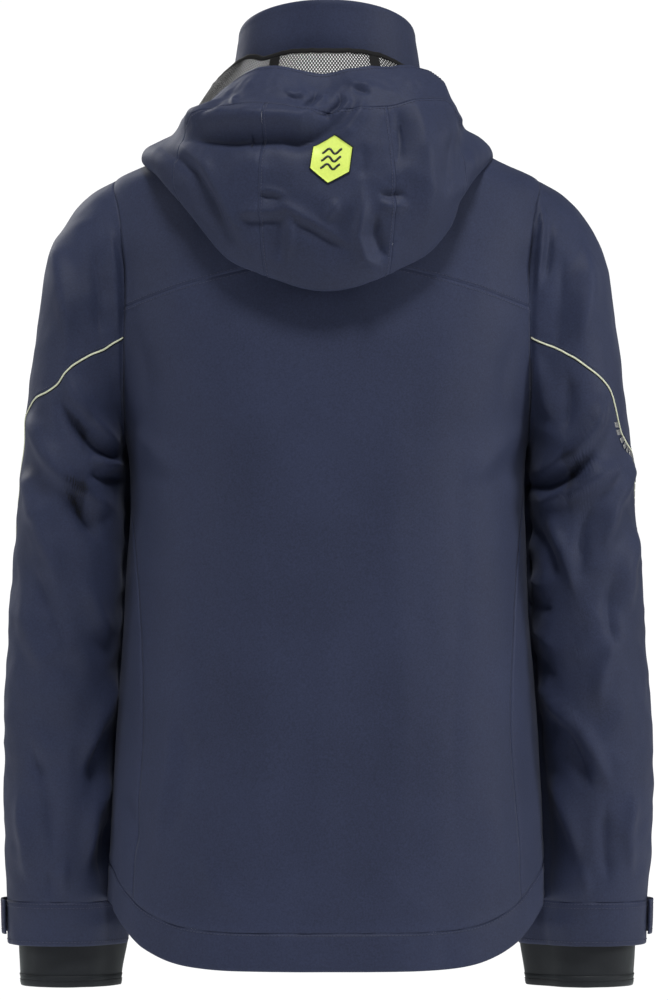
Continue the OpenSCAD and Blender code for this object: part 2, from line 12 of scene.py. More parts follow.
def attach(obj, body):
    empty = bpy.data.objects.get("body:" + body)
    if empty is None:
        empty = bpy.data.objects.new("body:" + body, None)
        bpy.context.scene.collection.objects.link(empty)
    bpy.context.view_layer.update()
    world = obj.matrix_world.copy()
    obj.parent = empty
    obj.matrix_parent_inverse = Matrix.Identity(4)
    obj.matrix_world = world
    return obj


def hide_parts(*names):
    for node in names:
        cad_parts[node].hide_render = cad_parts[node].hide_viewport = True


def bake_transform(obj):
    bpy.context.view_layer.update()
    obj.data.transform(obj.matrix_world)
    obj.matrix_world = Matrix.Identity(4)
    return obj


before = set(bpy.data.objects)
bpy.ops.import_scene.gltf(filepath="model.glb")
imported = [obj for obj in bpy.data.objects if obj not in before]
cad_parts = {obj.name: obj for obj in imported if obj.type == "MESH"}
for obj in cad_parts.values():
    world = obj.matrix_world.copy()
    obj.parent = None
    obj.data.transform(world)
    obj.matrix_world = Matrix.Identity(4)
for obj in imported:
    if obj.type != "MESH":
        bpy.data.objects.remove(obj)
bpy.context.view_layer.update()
MM = 0.001
lin = np.linspace
SIDES = ((1, "left"), (-1, "right"))

# ---------------------------------------------------------------- shapes shared with part.scad
ZIP_LEAN = math.radians(3.5)
COLLAR_BACK_Z, COLLAR_FRONT_Z, COLLAR_HALF = 103, 50, 83
FRONT_TOP_Y, NECK_FRONT_Z = 98, -40
ARM_Z, ARM_H, ARM_D = -186, 124, 70
ARMPIT_Z = ARM_Z - ARM_H
HEM_BACK_Z, HEM_SIDE_Z, HEM_FRONT_Z, HEM_BAND = -800, -742, -768, 34
SLEEVE_END_Z, CUFF_END_Z, CUFF_BAND = -786, -826, 42
HOOD_SEAM, HOOD_SPLIT, HOOD_REACH = 20, 50, 150
BODY = [
    [14, 86, 76, 2.00], [0, 92, 82, 2.00], [-20, 122, 93, 2.05], [-45, 166, 103, 2.10],
    [-62, 200, 108, 2.15], [-90, 208, 118, 2.20], [-130, 210, 130, 2.25], [-200, 208, 142, 2.30],
    [-260, 200, 147, 2.35], [-310, 190, 149, 2.35], [-360, 187, 150, 2.40], [-440, 190, 150, 2.40],
    [-550, 197, 151, 2.40], [-700, 205, 155, 2.40], [-804, 208, 160, 2.40],
]
SIDE_PANEL = [[-314, 0.5], [-360, 9], [-450, 24], [-580, 33], [-700, 31], [-900, 31]]
SLEEVE = [
    [200, -62, 190, -310, 70, 0], [224, -76, 192, -313, 72, 0], [245, -99, 192, -317, 74, 0],
    [264, -136, 192, -322, 76, 0], [273, -190, 192, -331, 77, 0], [282, -258, 192, -344, 77, 0],
    [290, -345, 193, -380, 76, 0], [298, -440, 194, -458, 72, 1], [305, -560, 201, -566, 66, -2],
    [306, -680, 207, -682, 59, -14], [304, -786, 208, -786, 54, -28],
]
LAST_RING = len(SLEEVE) - 1
BAND_RING = LAST_RING - CUFF_BAND / 106
HOOD = np.array([
    [[88, 56], [117, -50], [147, -142], [161, -172], [174, -140], [178, -72], [154, 2], [124, 36]],
    [[89, 53], [122, -40], [152, -108], [167, -139], [181, -112], [188, -58], [163, 4], [131, 37]],
    [[97, 34], [128, -14], [158, -45], [172, -61], [184, -50], [183, -28], [163, -6], [137, 10]],
    [[112, 6], [129, -11], [151, -27], [166, -37], [171, -32], [165, -20], [147, -6], [129, 4]],
    [[117, -3], [126, -17], [138, -28], [148, -36], [152, -32], [147, -23], [137, -11], [127, -3]],
    [[118, -23], [121, -29], [125, -34], [129, -37], [131, -33], [128, -28], [125, -24], [121, -20]],
], float)
PIPING = [
    [102, 0.1], [101.4, 1.2], [98.5, 2.0], [91.5, 3.04], [86.5, 3.46], [79.5, 3.84], [73, 4.26], [69, 4.46],
    [63, 4.64], [52, 4.86], [36, 5.04], [14, 5.32], [4, 5.46], [0, 5.6], [-6, 6.2], [-14, 6.75],
    [-30, 6.9], [-50, 6.3], [-70, 5.4], [-84, 4.2], [-92, 2.8], [-97, 1.5], [-102, 0.12],
]
PIPING_RIGHT = [
    [102, 0.1], [101.2, 0.8], [99.8, 1.32], [96.5, 2.1], [93, 2.74], [86, 3.38], [76.5, 3.92], [68, 4.26],
    [60, 4.52], [52, 4.75], [46, 4.94], [42, 5.18], [39, 5.42], [25, 5.62], [6, 5.76], [0, 5.98],
    [-6, 6.4], [-14, 6.85], [-30, 6.9], [-50, 6.3], [-70, 5.4], [-84, 4.2], [-92, 2.8], [-97, 1.5],
    [-102, 0.12],
]


def rows_at(rows, v, c):
    """Smooth value of column c where the first column is v; the rows rise or fall throughout."""
    r = np.asarray(rows, float)
    sign = 1 if r[-1, 0] > r[0, 0] else -1
    x, y, v = sign * r[:, 0], r[:, c], sign * np.asarray(v, float)
    n = len(x)
    a, b = np.maximum(np.arange(n) - 1, 0), np.minimum(np.arange(n) + 1, n - 1)
    m = (y[b] - y[a]) / (x[b] - x[a])
    i = np.clip(np.searchsorted(x, v, side="right") - 1, 0, n - 2)
    h = x[i + 1] - x[i]
    t = (v - x[i]) / h
    return ((2*t**3 - 3*t*t + 1) * y[i] + (t**3 - 2*t*t + t) * h * m[i]
            + (3*t*t - 2*t**3) * y[i + 1] + (t**3 - t*t) * h * m[i + 1])


def spow(v, p):
    return np.sign(v) * np.abs(v) ** p


def mix(a, b, t):
    return a * (1 - t) + b * t


def smooth(a, b, v):
    t = np.clip((v - a) / (b - a), 0, 1)
    return t * t * (3 - 2 * t)


def unit(v):
    """The same vectors with length 1, along the last axis."""
    return v / np.maximum(np.linalg.norm(v, axis=-1, keepdims=True), 1e-9)


def sin_d(v):
    return np.sin(np.radians(v))


def cos_d(v):
    return np.cos(np.radians(v))


def front_y(z):
    return FRONT_TOP_Y + (COLLAR_FRONT_Z - z) * math.tan(ZIP_LEAN)


def half_w(z):
    return rows_at(BODY, z, 1)


def depth(z, back):
    return np.where(back, rows_at(BODY, z, 2), front_y(z))


def body_at(u, z):
    u, z = np.broadcast_arrays(np.asarray(u, float), np.asarray(z, float))
    s, c = sin_d(u), cos_d(u)
    p = 2 / rows_at(BODY, z, 3)
    return np.stack([half_w(z) * spow(s, p), -depth(z, c < 0) * spow(c, p), z], -1)


def angle_at_x(x, z):
    return np.degrees(np.arcsin(np.minimum(1, x / half_w(z)) ** (rows_at(BODY, z, 3) / 2)))


def opening(z, back):
    """Half of the side opening as an angle: the armhole above the armpit, the side panel below."""
    z = np.asarray(z, float)
    y = ARM_D * np.sqrt(np.clip(1 - ((z - ARM_Z) / ARM_H) ** 2, 0, None))
    arm = 90 - np.degrees(np.arccos(np.minimum(1, y / depth(z, back)) ** (rows_at(BODY, z, 3) / 2)))
    side = rows_at(SIDE_PANEL, np.minimum(z, -314), 1)
    return np.where(z > ARMPIT_Z, np.where(z < ARM_Z + ARM_H, arm, 0), side)


def neck_z(u):
    c = cos_d(u)
    return np.where(c < 0, 8 * c * c, NECK_FRONT_Z * np.abs(c) ** 2.2)


def hem_z(u):
    return mix(np.where(cos_d(u) < 0, HEM_BACK_Z, HEM_FRONT_Z), HEM_SIDE_Z, np.abs(sin_d(u)) ** 5)


def yoke_z(u):
    return -142 - 50 * np.abs(sin_d(u)) ** 1.5


def armhole_at(k):
    z, y = ARM_Z + ARM_H * cos_d(k), ARM_D * sin_d(k)
    n = rows_at(BODY, z, 3)
    x = half_w(z) * np.clip(1 - (np.abs(y) / depth(z, y > 0)) ** n, 0, None) ** (1 / n)
    return np.stack([x, y, z], -1)


def ring_at(w, k):
    rows = np.column_stack([np.arange(len(SLEEVE)), SLEEVE])
    xo, zo, xi, zi, d, y = (rows_at(rows, w, c) for c in range(1, 7))
    c, s = spow(cos_d(k), 0.94), spow(sin_d(k), 0.94)
    return np.stack([mix(xi, xo, (1 + c) / 2), y + d * s, mix(zi, zo, (1 + c) / 2)], -1)


def sleeve_at(w, k):
    """The left sleeve: ring 0 is the armhole, angle 0 the outer side, 90 the back, 180 the inner side."""
    w, k = np.broadcast_arrays(np.asarray(w, float), np.asarray(k, float))
    a, b, c = armhole_at(k), ring_at(1.0, k), ring_at(2.0, k)
    t = np.clip(w, 0, 1)[..., None]
    near = ((2*t**3 - 3*t*t + 1) * a + (t**3 - 2*t*t + t) * (b - a)
            + (3*t*t - 2*t**3) * b + (t**3 - t*t) * (c - a) / 2)
    return np.where(w[..., None] < 1, near, ring_at(np.maximum(w, 1), k))


def piping_w(k, side):
    k = np.clip(k, -102, 102)
    spread = np.minimum(1, (102 - np.abs(k)) / 7)
    rows = PIPING if side > 0 else PIPING_RIGHT
    return sum(rows_at(rows, k + d * spread, 1) for d in (-4, -2, 0, 2, 4)) / 5


def hood_at(phi, t):
    """The dropped hood: phi from the back, t along its U from the collar's seam to the brim."""
    phi, t = np.broadcast_arrays(np.asarray(phi, float), np.asarray(t, float))
    q = t * (HOOD.shape[1] - 1)
    rows = [[np.column_stack([np.arange(HOOD.shape[1]), HOOD[i, :, c]]) for c in (0, 1)]
            for i in range(len(HOOD))]
    val = np.stack([np.stack([rows_at(rows[i][c], q, 1) for c in (0, 1)], -1)
                    for i in range(len(HOOD))], 0)
    p = np.abs(phi) / 30
    i = np.minimum(np.floor(p).astype(int), len(HOOD) - 2)
    f = (p - i)[..., None]

    def row(j):
        return np.take_along_axis(val, np.clip(j, 0, len(HOOD) - 1)[None, ..., None], 0)[0]
    a, b, c, d = row(np.abs(i - 1)), row(i), row(i + 1), row(np.minimum(i + 2, len(HOOD) - 1))
    v = 0.5 * (2*b + (c - a)*f + (2*a - 5*b + 4*c - d)*f*f + (3*b - a - 3*c + d)*f**3)
    return np.stack([v[..., 0] * sin_d(phi), v[..., 0] * cos_d(phi), v[..., 1]], -1)


# ---------------------------------------------------------------- folds
# Each fold: height (below 0 a valley), half width, lean (a valley beside it, on the right of its
# direction if positive), then its path as x and z in the view from behind.
BACK_FOLDS = [
    (3.2, 9, 0.7, [(150, -560), (146, -600), (154, -648), (164, -690)]),
    (-2.2, 7, 0, [(190, -640), (181, -668), (176, -700)]),
    (1.6, 16, 0, [(60, -250), (66, -420), (58, -600), (62, -740)]),
    (1.5, 18, 0, [(-70, -230), (-62, -400), (-72, -560), (-66, -735)]),
    (-1.4, 16, 0, [(112, -230), (118, -400), (110, -560), (118, -720)]),
    (-1.2, 16, 0, [(-120, -240), (-126, -420), (-118, -600), (-124, -730)]),
    (1.2, 15, 0, [(5, -300), (-4, -500), (8, -760)]),
    (2.6, 11, 0.5, [(-186, -290), (-160, -318), (-128, -352)]),
    (2.4, 10, -0.5, [(186, -296), (162, -318), (134, -344)]),
    (-1.8, 9, 0, [(184, -196), (170, -240), (166, -290)]),
    (-1.8, 9, 0, [(-182, -200), (-168, -244), (-164, -290)]),
    (1.6, 12, 0, [(-150, -640), (-164, -690), (-168, -735)]),
    (1.8, 10, 0.4, [(120, -690), (100, -730), (70, -756)]),
    (1.3, 13, 0, [(-40, -700), (-80, -742), (-120, -752)]),
]
LEFT_SLEEVE_FOLDS = [
    (4.6, 11, 0, [(258, -110), (250, -150), (243, -196), (242, -226)]),
    (-3.2, 11, 0, [(222, -120), (214, -170), (212, -222)]),
    (2.6, 8, 0, [(204, -112), (199, -150), (196, -210)]),
    (5.4, 9, 0, [(248, -238), (236, -266), (218, -294), (194, -316)]),
    (-6.5, 8, 0, [(256, -268), (238, -290), (216, -314), (190, -334)]),
    (3.6, 7, 0, [(222, -326), (206, -330), (188, -332)]),
    (-4.0, 6, 0, [(226, -341), (208, -344), (190, -345)]),
    (6.6, 10, 0, [(284, -282), (270, -306), (254, -331), (238, -352), (224, -372)]),
    (-5.6, 9, 0, [(252, -344), (240, -358), (229, -376), (212, -406)]),
    (3.6, 8, 0, [(240, -340), (222, -362), (200, -376)]),
    (5.6, 11, 0, [(290, -330), (279, -360), (268, -386), (258, -418), (252, -450)]),
    (3.0, 10, 0, [(232, -436), (216, -466), (206, -500)]),
    (-3.2, 10, 0, [(276, -430), (262, -470), (244, -506)]),
    (3.2, 12, 0, [(288, -446), (280, -486), (264, -530)]),
    (5.0, 9, 0, [(196, -526), (212, -568), (232, -618)]),
    (-3.8, 9, 0, [(202, -570), (214, -606), (226, -640)]),
    (4.4, 8, 0, [(200, -620), (222, -660), (228, -716)]),
    (-3.6, 9, 0, [(206, -664), (212, -700), (214, -730)]),
    (-3.2, 10, 0, [(282, -590), (264, -640), (258, -700)]),
    (3.0, 9, 0, [(292, -640), (284, -690), (284, -726)]),
    (2.6, 6, 0, [(246, -704), (250, -724), (246, -744)]),
    (-2.2, 5, 0, [(262, -716), (262, -730), (262, -744)]),
]
RIGHT_SLEEVE_FOLDS = [
    (4.6, 4, 0, [(-200, -84), (-203, -108), (-200, -138), (-197, -172)]),
    (-2.0, 4, 0, [(-210, -100), (-209, -130), (-205, -164)]),
    (4.4, 12, 0, [(-242, -122), (-245, -166), (-238, -222)]),
    (-2.6, 11, 0, [(-222, -130), (-220, -180), (-214, -230)]),
    (3.4, 11, 0, [(-196, -224), (-206, -262), (-212, -292)]),
    (-3.6, 10, 0, [(-226, -246), (-228, -276), (-222, -304)]),
    (6.6, 9, 0, [(-262, -262), (-252, -294), (-232, -320), (-206, -338)]),
    (-8.0, 8, 0, [(-252, -318), (-230, -338), (-206, -350), (-184, -352)]),
    (6.4, 9, 0, [(-198, -368), (-228, -356), (-256, -342), (-280, -330)]),
    (5.8, 9, 0, [(-284, -318), (-284, -340), (-268, -370), (-260, -412)]),
    (-4.6, 9, 0, [(-252, -366), (-240, -392), (-238, -430)]),
    (-4.6, 8, 0, [(-188, -382), (-204, -408), (-218, -440)]),
    (4.4, 8, 0, [(-208, -382), (-224, -412), (-234, -452)]),
    (4.6, 10, 0, [(-293, -388), (-282, -430), (-284, -472)]),
    (-3.4, 9, 0, [(-270, -430), (-266, -470), (-270, -510)]),
    (2.8, 5, 0, [(-190, -440), (-200, -444), (-212, -440)]),
    (-2.8, 5, 0, [(-191, -460), (-202, -466), (-214, -470)]),
    (3.0, 6, 0, [(-191, -484), (-204, -492), (-218, -504)]),
    (-3.0, 6, 0, [(-192, -510), (-204, -520), (-216, -534)]),
    (3.2, 6, 0, [(-196, -536), (-210, -550), (-222, -570)]),
    (3.2, 11, 0, [(-272, -486), (-258, -526), (-254, -560)]),
    (-6.4, 9, 0, [(-199, -566), (-224, -592), (-250, -636)]),
    (5.4, 10, 0, [(-208, -548), (-240, -582), (-268, -634)]),
    (4.6, 9, 0, [(-210, -620), (-226, -656), (-240, -704)]),
    (-3.4, 9, 0, [(-262, -650), (-262, -690), (-266, -730)]),
    (2.8, 8, 0, [(-292, -630), (-284, -680), (-288, -724)]),
    (2.6, 6, 0, [(-238, -710), (-246, -728), (-242, -744)]),
]
HOOD_FOLDS = [
    (14.0, 12, 0, [(150, -14), (112, -13), (80, -13), (50, -13), (26, -14), (8, -8), (-8, 2)]),
    (-10.5, 8, 0, [(136, -31), (112, -30), (86, -31), (58, -30), (40, -30), (26, -33), (12, -31), (-2, -23), (-14, -14)]),
    (3.4, 6, 0, [(-6, -32), (-20, -22), (-30, -8), (-34, 8)]),
    (-2.4, 7, 0, [(-33, -34), (-34, -52), (-32, -70)]),
    (-5.0, 8, 0, [(160, -30), (148, -41), (136, -50), (124, -60), (114, -76), (104, -94), (94, -110), (86, -128)]),
    (4.2, 7, 0, [(140, -32), (126, -43), (112, -56), (104, -74), (94, -92), (84, -112), (78, -130)]),
    (-2.2, 3.5, 0, [(64, -84), (50, -86), (38, -91)]),
    (1.6, 3.5, 0, [(66, -79), (52, -80), (36, -84)]),
    (-2.6, 6, 0, [(84, -107), (60, -109), (34, -108)]),
    (2.0, 5, 0, [(84, -98), (60, -99), (34, -97)]),
    (-2.6, 5, 0, [(43, -104), (42, -124), (44, -146)]),
    (2.6, 4, 0, [(34, -98), (34, -120), (37, -146)]),
    (3.0, 6, 0, [(54, -84), (34, -96), (18, -106), (-4, -118), (-26, -132)]),
    (-2.2, 6, 0, [(36, -106), (14, -116), (-4, -127), (-20, -136)]),
    (3.0, 5, 0, [(-12, -88), (-4, -100), (2, -110)]),
    (5.2, 6, 0, [(-34, -72), (-33, -98), (-29, -122), (-35, -142), (-50, -153), (-66, -149)]),
    (-4.6, 7, 0, [(-46, -100), (-45, -122), (-52, -138), (-62, -142)]),
    (-3.4, 3.6, 0, [(-46, -82), (-58, -84), (-74, -83)]),
    (3.0, 5, 0, [(-48, -92), (-62, -94), (-76, -92)]),
    (4.8, 13, 0, [(-80, 14), (-90, -30), (-96, -76), (-90, -116)]),
    (-3.8, 10, 0, [(-66, 0), (-68, -36), (-64, -66)]),
    (-4.2, 10, 0, [(-118, -20), (-116, -54), (-108, -86)]),
    (3.4, 8, 0, [(-138, -34), (-132, -60), (-120, -90)]),
    (-2.6, 3.0, 0, [(10, 15), (12, 6), (24, -5)]),
    (2.4, 3.2, 0, [(2, 12), (4, 4), (14, -4)]),
    (-3.0, 3.0, 0, [(-10, 15), (-13, 5), (-11, 0), (0, -9), (15, -13)]),
    (2.6, 3.4, 0, [(-18, 12), (-20, 2), (-14, -6), (-2, -15)]),
    (-2.0, 3.0, 0, [(-22, 18), (-32, 14), (-42, 12)]),
    (2.0, 3.0, 0, [(-18, 22), (-30, 20), (-44, 18)]),
    (1.8, 3.0, 0, [(40, 14), (30, 10), (18, 14)]),
    (-1.8, 2.6, 0, [(38, 9), (30, 6), (20, 8)]),
    (2.6, 4.0, 0, [(96, 8), (108, -5), (128, -17)]),
    (-2.4, 3.5, 0, [(92, 1), (106, -12), (118, -20)]),
    (2.4, 3.0, 0, [(82, 12), (84, 4), (80, -3)]),
    (2.2, 4, 0, [(-112, 10), (-117, -4), (-130, -18)]),
]
# Folds of the front, seen from the front as x and z
FRONT_FOLDS = [
    (2.4, 13, 0, [(60, -120), (66, -260), (60, -420)]), (2.2, 14, 0, [(-66, -130), (-60, -280), (-70, -430)]),
    (3.0, 10, 0.7, [(182, -292), (150, -330), (112, -352)]), (2.8, 10, -0.7, [(-182, -288), (-152, -322), (-110, -340)]),
    (2.6, 9, 0.5, [(176, -330), (150, -372), (126, -396)]), (-2.4, 9, 0, [(-172, -330), (-146, -366), (-118, -384)]),
    (2.2, 14, 0, [(70, -520), (62, -620), (76, -730)]), (2.0, 14, 0, [(-76, -500), (-84, -620), (-72, -724)]),
    (-1.8, 12, 0, [(150, -560), (146, -640), (156, -720)]), (-1.8, 12, 0, [(-150, -540), (-158, -640), (-150, -716)]),
    (1.8, 10, 0, [(120, -110), (140, -160), (150, -220)]), (1.8, 10, 0, [(-116, -112), (-138, -166), (-150, -226)]),
    (1.6, 7, 0.5, [(20, -440), (50, -462), (84, -470)]), (1.6, 7, -0.5, [(-22, -560), (-52, -586), (-84, -590)]),
]
# Folds of a sleeve's front, as x and z for the left one; the right one has them a little changed
SLEEVE_FRONT_FOLDS = [
    (5.0, 9, 0.8, [(192, -318), (226, -330), (262, -318)]), (-4.5, 9, 0, [(190, -340), (228, -352), (270, -344)]),
    (5.0, 9, -0.8, [(194, -372), (226, -388), (264, -386)]), (3.6, 10, 0, [(200, -430), (232, -452), (276, -452)]),
    (-3.4, 9, 0, [(204, -470), (236, -490), (280, -500)]), (3.4, 9, 0.6, [(206, -540), (240, -560), (282, -548)]),
    (-3.0, 8, 0, [(212, -600), (246, -624), (284, -640)]), (3.6, 8, 0.6, [(214, -656), (248, -672), (286, -690)]),
    (3.6, 10, 0, [(252, -140), (246, -200), (256, -262)]), (-2.8, 9, 0, [(222, -120), (214, -180), (212, -240)]),
    (2.8, 6, 0, [(226, -716), (232, -732), (228, -746)]), (2.6, 6, 0, [(262, -712), (258, -728), (262, -744)]),
]


FOLD_GAIN = 1.5


def fold_heights(xz, folds, limit=8.0, spread=1.0):
    """Sum of the folds' heights at points given as x and z."""
    grid = xz.shape[:-1]
    xz = xz.reshape(-1, 2)
    out = np.zeros(len(xz))
    for height, width, lean, path in folds:
        pts = np.asarray(path, float)
        seg = pts[1:] - pts[:-1]
        lengths = np.linalg.norm(seg, axis=1)
        start = np.concatenate([[0], np.cumsum(lengths)])
        total = start[-1]
        best = np.full(len(xz), 1e9)
        side, along = np.zeros(len(xz)), np.zeros(len(xz))
        for i in range(len(seg)):
            rel = xz - pts[i]
            t = np.clip(rel @ seg[i] / lengths[i] ** 2, 0, 1)
            off = rel - t[:, None] * seg[i]
            d = np.linalg.norm(off, axis=1)
            near = d < best
            best = np.where(near, d, best)
            cr = seg[i][0] * off[:, 1] - seg[i][1] * off[:, 0]
            side = np.where(near, np.sign(cr), side)
            along = np.where(near, start[i] + t * lengths[i], along)
        w = spread * width * (0.65 + 0.35 * np.sin(np.pi * np.clip(along / total, 0, 1)))
        s = best * side / w
        taper = smooth(-0.05, 0.35, along / total) * smooth(-0.05, 0.35, 1 - along / total)
        bump = np.exp(-np.abs(s) ** (1.6 if height > 0 else 1.35))
        if lean:
            bump -= 0.55 * abs(lean) * np.exp(-(s + math.copysign(1.75, lean)) ** 2 / 0.9)
        out += FOLD_GAIN * height * taper * bump
    return (limit * np.tanh(out / limit)).reshape(grid)


def noise_at(p, scale, seed=0.0):
    """Smooth noise, about -1 to 1, over points in mm; scale is the size of its lumps."""
    p = np.asarray(p, float)
    lumps = [noise.noise(Vector((a + seed, b - seed, c + 2 * seed))) for a, b, c in p.reshape(-1, 3) / scale]
    return np.array(lumps).reshape(p.shape[:-1])


def crumple(p, scale, seed):
    """Creased noise: smooth lumps that meet in sharp valleys."""
    n = noise_at(p, scale, seed)
    return 0.6 - np.sqrt(n * n + 0.004) * 2.0


def arm_fade(p):
    """0 on the armhole and 1 away from it, so that the body and the sleeve meet."""
    q = np.hypot(p[..., 1] / ARM_D, (p[..., 2] - ARM_Z) / ARM_H)
    near = (np.abs(p[..., 0]) > 120) & (p[..., 2] > -340)
    return np.where(near, smooth(1.0, 1.35, q), 1.0)


def shoulder_fill(p, distance):
    """Rounds the crease between the shoulder and the sleeve, above the middle of the armhole."""
    rise = 9.0 * np.exp(-distance / 22) * smooth(-150, -108, p[..., 2]) * smooth(6, 30, np.abs(p[..., 1]))
    return p + np.stack([0 * rise, rise * np.sign(p[..., 1]), 0 * rise], -1)


def from_armhole(p):
    """Distance of a body point from the armhole's edge, in mm."""
    q = np.hypot(p[..., 1] / ARM_D, (p[..., 2] - ARM_Z) / ARM_H)
    return np.where(np.abs(p[..., 0]) > 120, np.abs(q - 1) * (ARM_D + ARM_H) / 2, 999.0)


def body_move(p, n):
    """How far each body point moves along its outward normal."""
    xz, facing = p[..., [0, 2]], n[..., 1]
    back, front = smooth(-0.1, 0.35, facing), smooth(-0.1, 0.35, -facing)
    d = back * fold_heights(xz, BACK_FOLDS) + front * fold_heights(xz, FRONT_FOLDS)
    d += 1.3 * noise_at(p * [1, 1, 0.45], 60, 3.1) + 0.5 * noise_at(p, 24, 7.7)
    d += smooth(-560, -740, p[..., 2]) * 1.6 * noise_at(p * [1, 1, 0.3], 34, 1.7)
    side = 1 - np.maximum(back, front)
    d += side * 2.0 * noise_at(p * [1, 1, 0.5], 45, 9.4) * smooth(-330, -400, p[..., 2])
    collar = smooth(-50, 0, p[..., 2])
    zip_side = smooth(8, 40, np.abs(p[..., 0]) + 60 * (facing > 0))
    return d * arm_fade(p) * (1 - 0.8 * collar) * zip_side


def sleeve_move(p, n, w, k, side):
    """How far each sleeve point moves along its outward normal; calm beside the piping."""
    calm = 1 - 0.9 * np.exp(-((w - piping_w(k, side)) / 0.25) ** 2)
    xz = p[..., [0, 2]]
    back, front = smooth(-0.2, 0.4, n[..., 1]), 1 - smooth(-0.45, 0.1, n[..., 1])
    folds = LEFT_SLEEVE_FOLDS if side > 0 else RIGHT_SLEEVE_FOLDS
    fxz = xz * [side, 1] + [0, 0 if side > 0 else 14]
    d = back * 1.35 * fold_heights(xz, folds, 10.0, 0.78) + front * fold_heights(fxz, SLEEVE_FRONT_FOLDS)
    d += 1.5 * noise_at(p * [1, 1, 0.6], 48, 5.0 + side) + 0.7 * calm * noise_at(p, 20, 2.0 + side)
    elbow = smooth(-250, -330, p[..., 2]) * smooth(-720, -560, p[..., 2])
    d += 2.2 * elbow * crumple(p * [1, 1, 1.4], 52, 4.0 * side + 11)
    d += 0.8 * calm * crumple(p, 30, 21.0 + side)
    fade = smooth(0, 0.22, w) * (1 - 0.75 * smooth(BAND_RING - 0.35, BAND_RING, w))
    return d * fade


def hood_move(p, n, t):
    """How far each hood point moves along its outward normal; the folds lie on its outer layer."""
    outer = smooth(0.47, 0.56, t)
    d = outer * fold_heights(p[..., [0, 2]], HOOD_FOLDS, 24.0) * smooth(-0.5, 0.1, n[..., 1])
    d += (0.35 + 0.65 * outer) * (1.6 * noise_at(p, 42, 6.2) + 0.6 * noise_at(p, 17, 8.8))
    d += outer * 1.1 * crumple(p, 36, 15.5)
    wing = smooth(70, 130, np.abs(np.degrees(np.arctan2(p[..., 0], p[..., 1]))))
    d += wing * 1.2 * noise_at(p * [1, 0.5, 1], 18, 4.4)
    return d * smooth(0, 0.1, t)


# ---------------------------------------------------------------- meshes
def grid_normals(p, wrap=False):
    """Outward unit normals of a grid whose rows run down and columns run towards the left of the back."""
    across = (np.roll(p, -1, 1) - np.roll(p, 1, 1)) / 2 if wrap else np.gradient(p, axis=1)
    return unit(np.cross(np.gradient(p, axis=0), across))


def arc(p, axis):
    """Distance along a grid's rows or columns from its first one."""
    d = np.linalg.norm(np.diff(p, axis=axis), axis=-1)
    return np.concatenate([np.zeros_like(np.take(d, [0], axis=axis)), np.cumsum(d, axis=axis)], axis=axis)


def edge_gap(p, edges):
    """Distance of each grid point from the nearest of the named edges."""
    down, across = arc(p, 0), arc(p, 1)
    sets = {"top": down, "bottom": down[-1:] - down, "left": across, "right": across[:, -1:] - across}
    return np.min([sets[e] for e in edges], axis=0)


def seam_relief(p, n, edges, depth_mm=0.35, puff=0.2):
    """Sinks a panel's sewn edges and raises the stitched allowance beside them."""
    g = edge_gap(p, edges)
    uneven = noise_at(p, 9, 3.3)
    move = -depth_mm * np.exp(-g ** 2) + puff * (1 + 0.8 * uneven) * np.exp(-((g - 4) / 2.6) ** 2)
    move += 0.5 * uneven * np.exp(-((g - 12) / 8) ** 2)
    return p + n * move[..., None], np.exp(-(g / 7) ** 2)


def new_object(name, mesh, mats, body="jacket", nodes=None):
    """A piece that rides on a body and stands for CAD nodes: the one of its own name, unless told."""
    obj = bpy.data.objects.new(name, mesh)
    bpy.context.scene.collection.objects.link(obj)
    for m in mats:
        obj.data.materials.append(m)
    if body:
        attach(obj, body)
    nodes = (name,) if nodes is None else nodes
    if nodes:
        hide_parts(*nodes)
    return obj


def on_hood(obj):
    """Bakes a finished piece's transform into its mesh."""
    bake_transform(obj)


def modify(obj, kind, **values):
    modifier = obj.modifiers.new(kind.title(), kind)
    for key, value in values.items():
        setattr(modifier, key, value)


def mesh_of(name, verts, faces, uvs=None, values=None, smooth_faces=True):
    """A mesh from points in mm, with UVs in metres and a per-point value called seam."""
    me = bpy.data.meshes.new(name)
    me.from_pydata((np.asarray(verts, float) * MM).tolist(), [], faces)
    me.polygons.foreach_set("use_smooth", [smooth_faces] * len(me.polygons))
    if uvs is not None:
        layer = me.uv_layers.new(name="UVMap")
        idx = np.empty(len(me.loops), int)
        me.loops.foreach_get("vertex_index", idx)
        layer.data.foreach_set("uv", (np.asarray(uvs, float)[idx] * MM).ravel())
    if values is not None:
        att = me.attributes.new("seam", "FLOAT", "POINT")
        att.data.foreach_set("value", np.asarray(values, float).ravel())
    me.update()
    return me


def grid_faces(n, m, wrap=False):
    cols = m if wrap else m - 1
    i, j = np.meshgrid(np.arange(n - 1), np.arange(cols), indexing="ij")
    a, b = i * m + j, i * m + (j + 1) % m
    return np.stack([a, a + m, b + m, b], -1).reshape(-1, 4).tolist()


def declare(p, wrap):
    """Works out the width and length of a sheet of cloth from its own finished surface, not from a separate pattern,
    and keeps nothing of them.
    """
    q = np.concatenate([p, p[:, :1]], 1) if wrap else p
    across, down = arc(q, 1)[:, -1].max() * MM, arc(q, 0)[-1].max() * MM
    a, b = q[1:, 1:] - q[:-1, :-1], q[1:, :-1] - q[:-1, 1:]
    area = np.linalg.norm(np.cross(a, b), axis=-1).sum() / 2 * MM * MM
    across, down = round(min(across, area / (MIN_FILL * down)), 4), round(down, 4)


MIN_FILL, MIN_SHEET = 0.4, 0.0102


